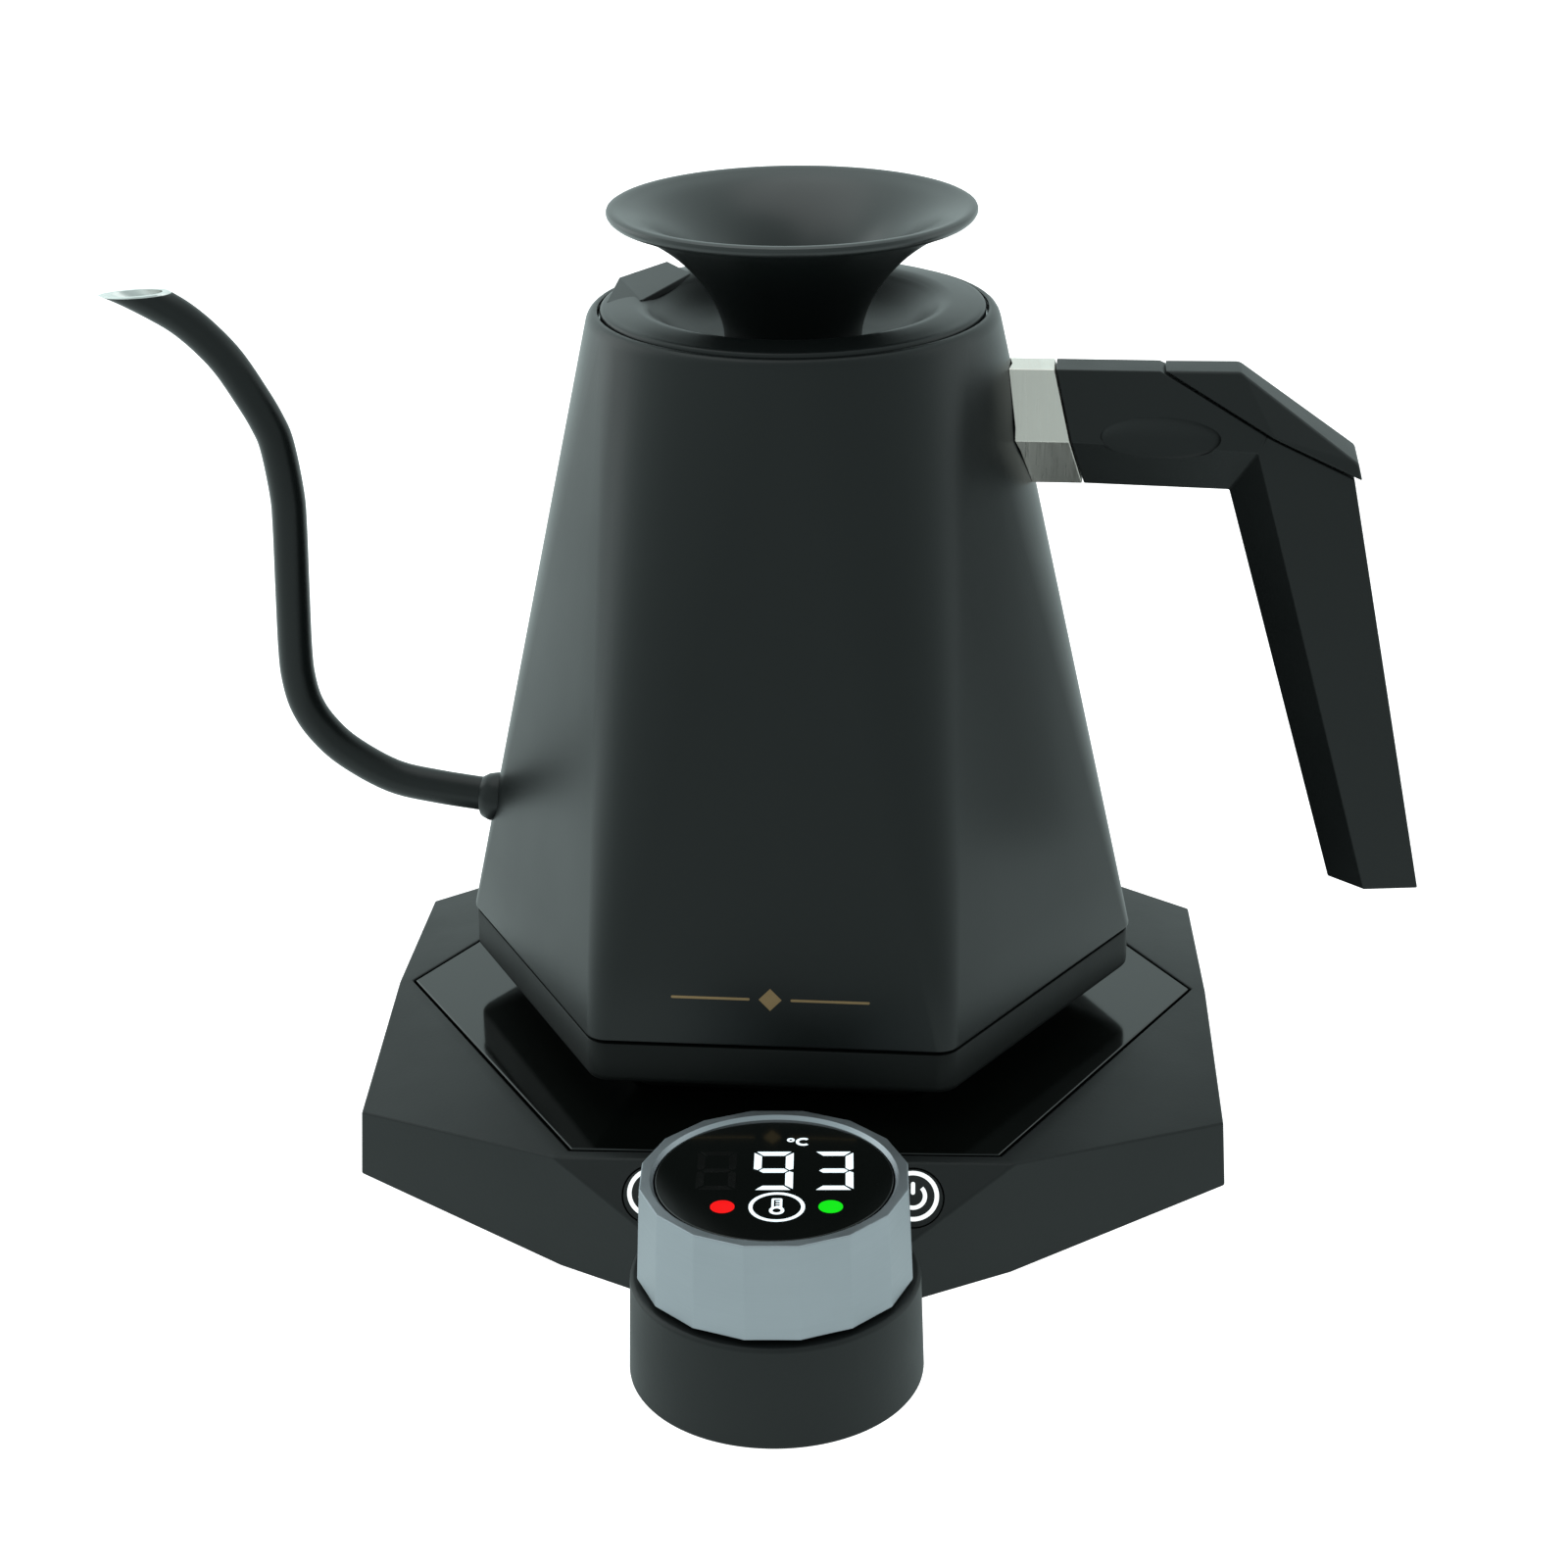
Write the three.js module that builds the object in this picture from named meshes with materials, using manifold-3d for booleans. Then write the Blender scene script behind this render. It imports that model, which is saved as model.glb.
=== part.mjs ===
// Gooseneck electric kettle on a six-cornered power base with a turning display knob.
// Millimetres, +Z up. The kettle's axis is the middle of the base, the knob is towards -Y,
// the handle towards +X and the spout towards -X.

import * as THREE from "three";
import { mergeVertices } from "three/addons/utils/BufferGeometryUtils.js";
import { ConvexGeometry } from "three/addons/geometries/ConvexGeometry.js";
import Module from "manifold-3d";

const wasm = await Module();
wasm.setup();

// ---------------------------------------------------------------- driving dimensions

const gap = 0.3;                    // air between pieces that touch on the real object
const cornerAngle = Math.PI / 3;    // the base and the kettle body are both hexagons
const roundSides = 30;              // sides of a large turned piece
const smallSides = 12;              // sides of a screw, pin or foot

// power base
const plateTop = 26.6;              // top of the glossy plate above the table
const plateThickness = 3;
const recessRadius = 89.4;          // corners of the recess that holds the plate
const plateRadius = 88.7;           // corners of the plate itself
const baseRadiusTop = 106.9;        // outer corners at the upper edge of the walls
const baseRadiusBottom = 107.9;
const baseCornerTop = 21.6;
const baseCornerBottom = 6.6;
const baseMiddleRadius = 92.5;      // middle of each outer wall, where the top facets meet
const baseMiddleRadiusBottom = 93.7;
const baseMiddleTop = 26.3;
const baseBottom = 0.8;             // lowest edge of the housing; the feet reach 0
const frontFoldX = 47.8;            // the fold where the steep front facet starts
const frontFoldY = -80;
const frontSlope = Math.tan(THREE.MathUtils.degToRad(42.5));
const cavityTop = 20.2;             // ceiling inside the housing
const cavityRadius = 101;
const coverBottom = 2.1;
const coverThickness = 2.2;

// knob on its round pedestal in front of the base
const knobY = -115.4;
const pedestalRadius = 29.3;
const pedestalRadiusTop = 28.6;
const pedestalTop = 22.2;
const pedestalBore = 24.6;
const pedestalFillet = 5;
const knobSides = 16;
const knobBottom = 23.2;
const knobTop = 43.3;
const knobRadiusBottom = 27.4;
const knobRadiusTop = 26.5;
const knobBore = 23.5;
const knobTurn = THREE.MathUtils.degToRad(1.5);
const displayRadius = 23.1;
const displayTop = 42.8;

// keys on the front facet
const keyX = 26.7;
const keyRadius = 6.2;
const keyTravel = 0.6;
const keyY = -85.6;

// connector in the middle of the plate
const connectorRadius = 16;
const connectorTop = 33;
const collarRadius = 19.4;

// kettle
const kettleTurn = THREE.MathUtils.degToRad(-2.95);
const shellBottom = 44.8;
const shellTop = 185.8;
const shellRadiusBottom = 74;       // corner of the rounded hexagon at the bottom
const shellFilletBottom = 9;
const neckRadius = 43.1;            // the hexagon has become a circle at the top
const shellWall = 1.2;
const mouthTurn = 1.3;              // how far the mouth's edge turns in
const skirtTop = 44;
const skirtEdge = 35.3;
const skirtRadius = 73.6;
const footRadius = 59;
const kettleFoot = plateTop + gap;
const floorTop = 51.5;

// lid
const lidRadius = 40.5;
const lidRim = 186.5;
const lidDish = 178.6;
const flareRadius = 38.6;
const flareTop = 207.2;

// handle, in the kettle's own plane
const handleHalfWidth = 11;         // at the ridges
const handleFace = 4.4;             // half-width of the outer and inner faces
const armTop = 174;
const armBottom = 149.4;
const armRidge = 160.4;
const armMiddle = 162;
const legBottom = 60;

// spout
const spoutRadius = 3.8;
const spoutBore = 3;
const spoutRoot = 71.8;
const spoutCut = 186.6;             // height of the tip's cut at its middle
const spoutCutTilt = 3.7;           // degrees that the cut drops towards the tip
const spoutSteps = 28;

// ---------------------------------------------------------------- solids

function solidOf(geometry) {
  const bare = new THREE.BufferGeometry();
  bare.setAttribute("position", geometry.getAttribute("position"));
  if (geometry.index) {
    bare.setIndex(geometry.index);
  }
  const merged = mergeVertices(bare, 1e-4);
  const mesh = new wasm.Mesh({
    numProp: 3,
    vertProperties: new Float32Array(merged.getAttribute("position").array),
    triVerts: new Uint32Array(merged.index.array),
  });
  return new wasm.Manifold(mesh);
}

function geometryOf(solid) {
  const mesh = solid.getMesh();
  const geometry = new THREE.BufferGeometry();
  geometry.setAttribute("position", new THREE.BufferAttribute(mesh.vertProperties, 3));
  geometry.setIndex(new THREE.BufferAttribute(mesh.triVerts, 1));
  geometry.computeVertexNormals();
  return geometry;
}

function join(first, ...others) {
  return others.reduce((whole, other) => whole.add(other), first);
}

function cut(body, ...tools) {
  return tools.reduce((left, tool) => left.subtract(tool), body);
}

function rod(radius, bottom, top, x = 0, y = 0, sides = smallSides, radiusTop = radius) {
  const geometry = new THREE.CylinderGeometry(radiusTop, radius, top - bottom, sides);
  geometry.rotateX(Math.PI / 2);
  geometry.translate(x, y, (top + bottom) / 2);
  return solidOf(geometry);
}

function block(width, depth, height, x, y, z) {
  const geometry = new THREE.BoxGeometry(width, depth, height);
  geometry.translate(x, y, z);
  return solidOf(geometry);
}

// A profile of [radius, height] pairs, going up on its outer side, turned about +Z.
function turned(profile, sides = roundSides) {
  const points = profile.map(([radius, height]) => new THREE.Vector2(radius, height));
  const geometry = new THREE.LatheGeometry(points, sides);
  geometry.rotateX(Math.PI / 2);
  return solidOf(geometry);
}

function ring(inner, outer, bottom, top, sides = roundSides) {
  const profile = [[inner, bottom], [outer, bottom], [outer, top], [inner, top], [inner, bottom]];
  return turned(profile, sides);
}

function hull(points) {
  return solidOf(new ConvexGeometry(points.map(([x, y, z]) => new THREE.Vector3(x, y, z))));
}

function prism(outline, bottom, top) {
  const shape = new THREE.Shape(outline.map(([x, y]) => new THREE.Vector2(x, y)));
  const geometry = new THREE.ExtrudeGeometry(shape, { depth: top - bottom, bevelEnabled: false });
  geometry.translate(0, 0, bottom);
  return solidOf(geometry);
}

// A prism across the handle: its outline lies in the kettle's XZ plane.
function sidePrism(outline, halfWidth) {
  const shape = new THREE.Shape(outline.map(([x, z]) => new THREE.Vector2(x, z)));
  const depth = 2 * halfWidth;
  const geometry = new THREE.ExtrudeGeometry(shape, { depth, bevelEnabled: false });
  geometry.rotateX(Math.PI / 2);
  geometry.translate(0, halfWidth, 0);
  return solidOf(geometry);
}

function tube(radius, curve, steps, sides) {
  const outline = new THREE.Shape();
  outline.absarc(0, 0, radius, 0, 2 * Math.PI);
  const section = new THREE.Shape(outline.getPoints(Math.ceil(sides / 2)).slice(0, -1));
  const options = { steps, extrudePath: curve, bevelEnabled: false };
  return solidOf(new THREE.ExtrudeGeometry(section, options));
}

function polar(radius, angle, z) {
  return [radius * Math.cos(angle), radius * Math.sin(angle), z];
}

function cornerRing(radius, z, phase = 0) {
  return [0, 1, 2, 3, 4, 5].map((k) => polar(radius, phase + k * cornerAngle, z));
}

// ---------------------------------------------------------------- rounded hexagon

// One section of a hexagon with rounded corners, as [x, y] points. The corner reaches
// `radius` from the axis, and `inset` moves the whole outline inwards.
function hexagonSection(radius, fillet, inset = 0, arcSteps = 4) {
  const apothem = (radius + fillet * (1 / Math.cos(cornerAngle / 2) - 1)) * Math.cos(cornerAngle / 2);
  const centreRadius = (apothem - fillet) / Math.cos(cornerAngle / 2);
  const points = [];
  for (let corner = 0; corner < 6; corner += 1) {
    const middle = corner * cornerAngle;
    for (let step = 0; step <= arcSteps; step += 1) {
      const angle = middle + (step / arcSteps - 0.5) * cornerAngle;
      points.push([
        centreRadius * Math.cos(middle) + (fillet - inset) * Math.cos(angle),
        centreRadius * Math.sin(middle) + (fillet - inset) * Math.sin(angle),
      ]);
    }
  }
  return points;
}

// Stacks convex sections, each { z, points }, into one closed solid.
function loft(sections) {
  const count = sections[0].points.length;
  const positions = [];
  const indices = [];
  for (const { z, points } of sections) {
    for (const [x, y] of points) {
      positions.push(x, y, z);
    }
  }
  for (let level = 0; level < sections.length - 1; level += 1) {
    for (let k = 0; k < count; k += 1) {
      const a = level * count + k;
      const b = level * count + ((k + 1) % count);
      indices.push(a, b, b + count);
      indices.push(a, b + count, a + count);
    }
  }
  const last = (sections.length - 1) * count;
  for (let k = 1; k < count - 1; k += 1) {
    indices.push(0, k + 1, k);
    indices.push(last, last + k, last + k + 1);
  }
  const geometry = new THREE.BufferGeometry();
  geometry.setAttribute("position", new THREE.Float32BufferAttribute(positions, 3));
  geometry.setIndex(indices);
  return solidOf(geometry);
}

// The kettle body's section at a height: a rounded hexagon that turns into a circle.
function bodySection(z, inset = 0, turnIn = 0) {
  const rise = (z - shellBottom) / (shellTop - shellBottom);
  const radius = THREE.MathUtils.lerp(shellRadiusBottom, neckRadius, rise);
  const fillet = THREE.MathUtils.lerp(shellFilletBottom, neckRadius - 0.2, rise);
  return { z, points: hexagonSection(radius - turnIn, fillet - turnIn, inset) };
}

function skirtSection(z, radius, inset = 0) {
  return { z, points: hexagonSection(radius, shellFilletBottom, inset) };
}

// ---------------------------------------------------------------- the scene graph

const kettleAssembly = new THREE.Group();
kettleAssembly.name = "electric_kettle";
const baseGroup = new THREE.Group();
const knobGroup = new THREE.Group();
knobGroup.position.set(0, knobY, 0);
const kettleGroup = new THREE.Group();
kettleGroup.rotation.z = kettleTurn;
const lidGroup = new THREE.Group();
kettleGroup.add(lidGroup);
baseGroup.add(knobGroup);
kettleAssembly.add(baseGroup, kettleGroup);

function finish(color, roughness, metalness = 0) {
  return new THREE.MeshStandardMaterial({ color, roughness, metalness });
}

const charcoalPlastic = finish(0x353c3c, 0.55);
const blackGlass = finish(0x060807, 0.08);
const paintedSteel = finish(0x303939, 0.5, 0.2);
const gripRubber = finish(0x242929, 0.7);
const satinSilver = finish(0x8fa0a2, 0.35, 0.9);
const brushedSteel = finish(0xb4bcb9, 0.35, 1);
const bareSteel = finish(0xb8bcbc, 0.3, 1);
const blackRubber = finish(0x161818, 0.85);
const blackPlastic = finish(0x141615, 0.5);
const circuitBoard = finish(0x1d4a2c, 0.6);
const copper = finish(0xb87a4a, 0.35, 1);
const silicone = finish(0xb9bdbb, 0.6);

function place(group, name, solid, material, x = 0, y = 0, z = 0) {
  const mesh = new THREE.Mesh(geometryOf(solid), material);
  mesh.name = name;
  mesh.position.set(x, y, z);
  group.add(mesh);
  return mesh;
}

// ---------------------------------------------------------------- power base

const coverScrewAngles = [30, 150, 210, 330].map(THREE.MathUtils.degToRad);
const coverScrewRadius = 86;
const inletAngle = cornerAngle;     // the cord enters the wall behind and to the right
const inletHeight = 11;
const inletRadius = 5.2;

function facetHeight(y) {
  return baseMiddleTop - (frontFoldY - y) * frontSlope;
}

// A solid frame turned so that its +Z is square to the front facet.
function onFacet(solid, x, y) {
  const tilt = THREE.MathUtils.radToDeg(Math.atan(frontSlope));
  return solid.rotate([tilt, 0, 0]).translate([x, y, facetHeight(y)]);
}

function outerHousing() {
  const points = cornerRing(recessRadius, plateTop);
  points.push(...cornerRing(baseMiddleRadius, baseMiddleTop).slice(0, 4));
  points.push([-frontFoldX, frontFoldY, baseMiddleTop], [frontFoldX, frontFoldY, baseMiddleTop]);
  points.push(...cornerRing(baseRadiusTop, baseCornerTop, cornerAngle / 2).filter((p, k) => k !== 4));
  points.push(...cornerRing(baseMiddleRadiusBottom, baseBottom));
  const lowCorners = cornerRing(baseRadiusBottom, baseCornerBottom, cornerAngle / 2);
  points.push(...lowCorners.filter((p, k) => k !== 4));
  const apexY = -baseRadiusBottom;
  points.push([0, apexY, baseBottom], [0, apexY, facetHeight(apexY)]);
  return hull(points);
}

function housingCavity() {
  const low = -1;
  const corners = (z) => cornerRing(cavityRadius, z, cornerAngle / 2).filter((p, k) => k !== 4);
  const frontHalf = 38;
  return hull([
    ...corners(low),
    ...corners(cavityTop),
    [-frontHalf, -82.5, cavityTop],
    [frontHalf, -82.5, cavityTop],
    [0, -104.5, low],
  ]);
}

// The concave blend between a front wall and the pedestal; side is -1 or 1.
function pedestalBlend(side) {
  const wall = baseMiddleRadiusBottom - 0.3;
  const normal = new THREE.Vector2(Math.cos(cornerAngle) * side, -Math.sin(cornerAngle));
  const along = new THREE.Vector2(Math.sin(cornerAngle) * side, Math.cos(cornerAngle));
  const knob = new THREE.Vector2(0, knobY);
  const across = wall + pedestalFillet - knob.dot(normal);
  const reach = Math.sqrt((pedestalRadius + pedestalFillet) ** 2 - across ** 2);
  const centre = knob.clone().addScaledVector(normal, across).addScaledVector(along, reach);
  const toWall = normal.clone().negate();
  const toKnob = knob.clone().sub(centre).normalize();
  const outline = [[0, -100]];
  const steps = 5;
  for (let k = 0; k <= steps; k += 1) {
    const direction = toWall.clone().lerp(toKnob, k / steps).normalize();
    const point = centre.clone().addScaledVector(direction, pedestalFillet);
    outline.push([point.x, point.y]);
  }
  if (side > 0) {
    outline.reverse();
  }
  const below = hull([
    [-60, -60, 0], [60, -60, 0], [-60, -140, 0], [60, -140, 0],
    [-60, -60, facetHeight(-60)], [60, -60, facetHeight(-60)],
    [-60, -108, facetHeight(-108)], [60, -108, facetHeight(-108)],
  ]);
  return prism(outline, baseBottom, pedestalTop).intersect(below);
}

function buildHousing() {
  const [foot, top] = [pedestalRadius, pedestalRadiusTop];
  const pedestal = rod(foot, baseBottom, pedestalTop, 0, knobY, roundSides, top);
  let shell = join(outerHousing(), pedestal, pedestalBlend(-1), pedestalBlend(1));
  shell = cut(
    shell,
    housingCavity(),
    rod(pedestalBore, -1, pedestalTop + 1, 0, knobY, roundSides),
    prism(cornerRing(recessRadius, 0), plateTop - plateThickness - gap, plateTop + 5),
    rod(connectorRadius + gap, cavityTop - 2, plateTop, 0, 0, roundSides),
  );
  for (const side of [-1, 1]) {
    shell = cut(shell, onFacet(rod(keyRadius + gap, -12, 3, 0, 0, 24), side * keyX, keyY));
  }
  for (const angle of coverScrewAngles) {
    const [x, y] = polar(coverScrewRadius, angle, 0);
    shell = join(shell, rod(4.5, 6.5, cavityTop + 1, x, y));
    shell = cut(shell, rod(2, 6, cavityTop - 1, x, y));
  }
  const inlet = rod(inletRadius + gap, -12, 12).rotate([0, 90, 0]);
  const turn = THREE.MathUtils.radToDeg(inletAngle);
  const [x, y] = polar(baseMiddleRadius, inletAngle, 0);
  return cut(shell, inlet.rotate([0, 0, turn]).translate([x, y, inletHeight]));
}

function buildCover() {
  const tray = (radius, cornerRadius, bottom, cornerZ, top) => hull([
    ...cornerRing(radius, bottom),
    ...cornerRing(radius, top),
    ...cornerRing(cornerRadius, cornerZ, cornerAngle / 2).filter((p, k) => k !== 4),
    ...cornerRing(cornerRadius, top, cornerAngle / 2).filter((p, k) => k !== 4),
  ]);
  const floor = coverBottom + coverThickness;
  const tongue = [[-34, -70], [-34, -82.5], [-10, -97.5], [10, -97.5], [34, -82.5], [34, -70]];
  let cover = tray(86.6, 99.6, coverBottom, 5.6, 6.2);
  cover = cut(cover, tray(82, 94, floor, 7, 9));
  cover = join(
    cover,
    prism(tongue, coverBottom, floor),
    block(20, 20, coverThickness, 0, -100, coverBottom + coverThickness / 2),
    rod(pedestalBore - 0.4, coverBottom, floor, 0, knobY, roundSides),
  );
  for (const angle of coverScrewAngles) {
    const [x, y] = polar(coverScrewRadius, angle, 0);
    cover = join(cover, rod(4.5, coverBottom, 6.2, x, y));
    cover = cut(cover, rod(3.4, 0, 3.9, x, y), rod(2, 0, 9, x, y));
  }
  return cover;
}

place(baseGroup, "base_housing", buildHousing(), charcoalPlastic);
place(baseGroup, "base_cover", buildCover(), blackPlastic);

const plate = cut(
  prism(cornerRing(plateRadius, 0), plateTop - plateThickness, plateTop),
  rod(collarRadius + gap, 0, 40, 0, 0, roundSides),
);
place(baseGroup, "gloss_plate", plate, blackGlass);

const inletBush = turned([
  [2.9, -4], [inletRadius, -4], [inletRadius, 1.3], [7.2, 1.3], [7.2, 2.6], [2.9, 2.6], [2.9, -4],
], 24);
const inletMesh = place(baseGroup, "cord_inlet", inletBush, blackRubber);
inletMesh.rotation.set(0, Math.PI / 2, inletAngle, "ZYX");
inletMesh.position.set(...polar(baseMiddleRadiusBottom - 0.5, inletAngle, inletHeight));

function buildScrew(headRadius, headHeight, shaftRadius, length) {
  const slot = block(headRadius * 1.3, 0.7, 1, 0, 0, 0);
  const head = rod(headRadius, 0, headHeight);
  return cut(join(head, rod(shaftRadius, headHeight - 0.1, length)), slot);
}

coverScrewAngles.forEach((angle, k) => {
  const [x, y] = polar(coverScrewRadius, angle, 0);
  place(baseGroup, `cover_screw_${k + 1}`, buildScrew(3, 1.3, 1.6, 12), bareSteel, x, y, 2.3);
});

const footPlaces = cornerRing(78, 0).map(([x, y]) => [x, y]);
footPlaces.push([0, knobY - 4]);
footPlaces.forEach(([x, y], k) => {
  const foot = turned([[0, 0], [6.2, 0], [7, 0.8], [7, coverBottom - gap], [0, coverBottom - gap]], 20);
  place(baseGroup, `foot_${k + 1}`, foot, blackRubber, x, y, 0);
});

// The connector stands through the plate; its ring grooves take the kettle's contacts.
function buildConnector() {
  const grooveDepth = 6;
  const floor = connectorTop - grooveDepth;
  return cut(
    join(
      rod(connectorRadius, 8, connectorTop, 0, 0, roundSides),
      rod(22, 16, cavityTop - gap, 0, 0, roundSides),
    ),
    ring(4, 6.6, floor, 40, 24),
    ring(9.5, 12.1, floor, 40, 32),
    rod(2, floor - 2, 40),
  );
}

place(baseGroup, "base_connector", buildConnector(), blackPlastic);
place(baseGroup, "contact_pin", rod(1.6, 25.3, 28), copper);
place(baseGroup, "contact_ring_inner", ring(4.3, 4.9, 27.3, 32, 24), copper);
place(baseGroup, "contact_ring_outer", ring(9.8, 10.4, 27.3, 32, 32), copper);
const collar = ring(connectorRadius + gap, collarRadius, plateTop - 2.7, plateTop);
place(baseGroup, "turning_collar", collar, blackPlastic);

place(baseGroup, "power_board", block(64, 46, 1.6, 0, 50, 7.8), circuitBoard);
place(baseGroup, "power_relay", block(20, 15, 9, 16, 52, 8.6 + gap + 4.5), blackPlastic);
place(baseGroup, "transformer", block(22, 20, 9, -16, 50, 8.6 + gap + 4.5), copper);

// ---------------------------------------------------------------- keys

const keyThickness = 2.2;
const stemLength = 2;
const switchDepth = keyThickness + stemLength + keyTravel + gap;
const keySwitch = join(
  block(6, 6, 3, 0, 0, -switchDepth - 2),
  rod(1.6, -switchDepth - 1, -switchDepth),
);
const keyCap = join(
  rod(keyRadius, -keyThickness, 0, 0, 0, 24),
  rod(1.8, -keyThickness - stemLength, -keyThickness + 0.1),
);
for (const [side, word] of [[-1, "left"], [1, "right"]]) {
  place(baseGroup, `key_${word}`, onFacet(keyCap, side * keyX, keyY), charcoalPlastic);
  place(baseGroup, `key_switch_${word}`, onFacet(keySwitch, side * keyX, keyY), blackPlastic);
}
const keyBoard = block(66, 8, 1.2, 0, 0, -switchDepth - 4.4);
place(baseGroup, "key_board", onFacet(keyBoard, 0, keyY), circuitBoard);

// ---------------------------------------------------------------- knob

function buildKnobRing() {
  const facet = 2 * Math.PI / knobSides;
  const level = (radius, z) => {
    const corners = [];
    for (let k = 0; k < knobSides; k += 1) {
      corners.push(polar(radius, (k + 0.5) * facet + knobTurn, z).slice(0, 2));
    }
    return { z, points: corners };
  };
  const body = loft([
    level(knobRadiusBottom, knobBottom),
    level(knobRadiusTop, knobTop),
  ]);
  return cut(body, rod(knobBore, knobBottom - 1, knobTop + 1, 0, 0, 48));
}

const housingFloor = 24;
const displayBottom = displayTop - 1;
const housingRadius = knobBore - gap;
const shaftRadius = 3;
const encoderTop = 15;
const springRadius = 6;
const springWire = 0.6;

function buildDisplayHousing() {
  const wall = 1.6;
  return cut(
    join(
      rod(housingRadius, housingFloor, displayBottom - gap, 0, 0, roundSides),
      rod(pedestalBore - 1.2, pedestalTop - 4, housingFloor - gap - 0.5, 0, 0, roundSides),
      rod(housingRadius - 3, housingFloor - 2, housingFloor + 1, 0, 0, roundSides),
    ),
    rod(housingRadius - wall, housingFloor + 2, knobTop, 0, 0, roundSides),
    rod(housingRadius - 3 * wall, pedestalTop - 5, housingFloor - 1.5, 0, 0, roundSides),
  );
}

place(knobGroup, "knob_ring", buildKnobRing(), satinSilver);
place(knobGroup, "display_housing", buildDisplayHousing(), blackPlastic);
const windowDisc = rod(displayRadius, displayBottom, displayTop, 0, 0, 48);
place(knobGroup, "display_window", windowDisc, blackGlass);
place(knobGroup, "display_board", rod(20.6, 36, 37.6, 0, 0, roundSides), circuitBoard);

const springTurns = 4;
class Helix extends THREE.Curve {
  getPoint(t, target = new THREE.Vector3()) {
    const angle = t * springTurns * 2 * Math.PI;
    const bottom = encoderTop + gap + springWire;
    const top = housingFloor - 1.5 - gap - springWire;
    const z = THREE.MathUtils.lerp(bottom, top, t);
    return target.set(springRadius * Math.cos(angle), springRadius * Math.sin(angle), z);
  }
}
place(knobGroup, "encoder_shaft", rod(shaftRadius, 8, housingFloor - 1.5 - gap), bareSteel);
place(knobGroup, "encoder_body", cut(
  block(15, 15, encoderTop - 6, 0, 0, (encoderTop + 6) / 2),
  rod(shaftRadius + gap, 7, encoderTop + 1),
), blackPlastic);
place(knobGroup, "knob_spring", tube(springWire, new Helix(), springTurns * 10, 5), bareSteel);

// ---------------------------------------------------------------- kettle body

const probePlace = [0, 22];
const handleScrewX = 79;

function buildShell() {
  const outer = loft([
    bodySection(shellBottom),
    bodySection(115),
    bodySection(shellTop - 2),
    bodySection(shellTop - 0.8, 0, 0.4),
    bodySection(shellTop, 0, mouthTurn),
  ]);
  const inner = loft([
    bodySection(shellBottom - 1, shellWall),
    bodySection(115, shellWall),
    bodySection(shellTop - 2, shellWall),
    bodySection(shellTop, shellWall, 0.8),
    bodySection(shellTop + 1, shellWall, 0.8),
  ]);
  const spoutHole = rod(spoutRadius + gap, 0, 30).rotate([0, -90, 0]).translate([-50, 0, spoutRoot]);
  return cut(outer, inner, spoutHole);
}

function buildSkirt() {
  const wall = 2.2;
  const floor = kettleFoot + 2.5;
  const socketHole = 20.4;
  const lipRadius = 71.2;
  let skirt = join(
    loft([
      skirtSection(kettleFoot, footRadius - 1.5),
      skirtSection(kettleFoot + 1.6, footRadius),
      skirtSection(skirtEdge, skirtRadius),
      skirtSection(skirtTop, skirtRadius),
    ]),
    loft([skirtSection(skirtTop - 1, lipRadius), skirtSection(skirtTop + 3.6, lipRadius)]),
  );
  skirt = cut(
    skirt,
    loft([
      skirtSection(floor, footRadius - wall - 1),
      skirtSection(skirtEdge + 1.6, lipRadius - wall),
      skirtSection(skirtTop + 5, lipRadius - wall),
    ]),
    rod(socketHole, 0, floor + 1, 0, 0, roundSides),
  );
  for (const [x, y] of skirtScrewPlaces) {
    skirt = join(skirt, rod(5, kettleFoot + 0.2, 40, x, y));
    skirt = cut(skirt, rod(3.4, 20, kettleFoot + 1.8, x, y), rod(2.1, 20, 39, x, y));
  }
  return skirt;
}

const skirtScrewPlaces = [90, 210, 330].map((degrees) => {
  return polar(42, THREE.MathUtils.degToRad(degrees), 0).slice(0, 2);
});

place(kettleGroup, "kettle_shell", buildShell(), paintedSteel);
place(kettleGroup, "kettle_skirt", buildSkirt(), charcoalPlastic);
skirtScrewPlaces.forEach(([x, y], k) => {
  const screw = buildScrew(3, 1.3, 1.7, 10.5);
  place(kettleGroup, `skirt_screw_${k + 1}`, screw, bareSteel, x, y, kettleFoot + 0.2);
});

// The boiler floor closes the shell; the element is fixed under it.
const floorSection = (z) => bodySection(z, shellWall + gap);
const boilerFloor = cut(
  loft([floorSection(floorTop - 1.2), floorSection(floorTop)]),
  rod(2.6, 40, 60, ...probePlace),
);
place(kettleGroup, "boiler_floor", boilerFloor, bareSteel);

class ElementArc extends THREE.Curve {
  getPoint(t, target = new THREE.Vector3()) {
    const angle = THREE.MathUtils.degToRad(30 + 300 * t);
    return target.set(32 * Math.cos(angle), 32 * Math.sin(angle), floorTop - 1.2 - gap - 3);
  }
}
place(kettleGroup, "heating_element", tube(3, new ElementArc(), 24, 8), bareSteel);
place(kettleGroup, "temperature_probe", rod(2.2, 43, 61, ...probePlace), bareSteel);

// The socket drops over the base's connector and carries the three contacts.
function buildSocket() {
  const roof = connectorTop + 1;
  const innerRadius = connectorRadius + 0.6;
  return join(
    cut(rod(20, kettleFoot, roof + 4, 0, 0, roundSides), rod(innerRadius, 0, roof, 0, 0, roundSides)),
    rod(1.2, 28.6, roof + 1, 0, 0, smallSides),
    ring(5.4, 6.1, 28, roof + 1, 24),
    ring(10.9, 11.6, 28, roof + 1, 32),
  );
}
place(kettleGroup, "kettle_socket", buildSocket(), blackPlastic);

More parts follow.
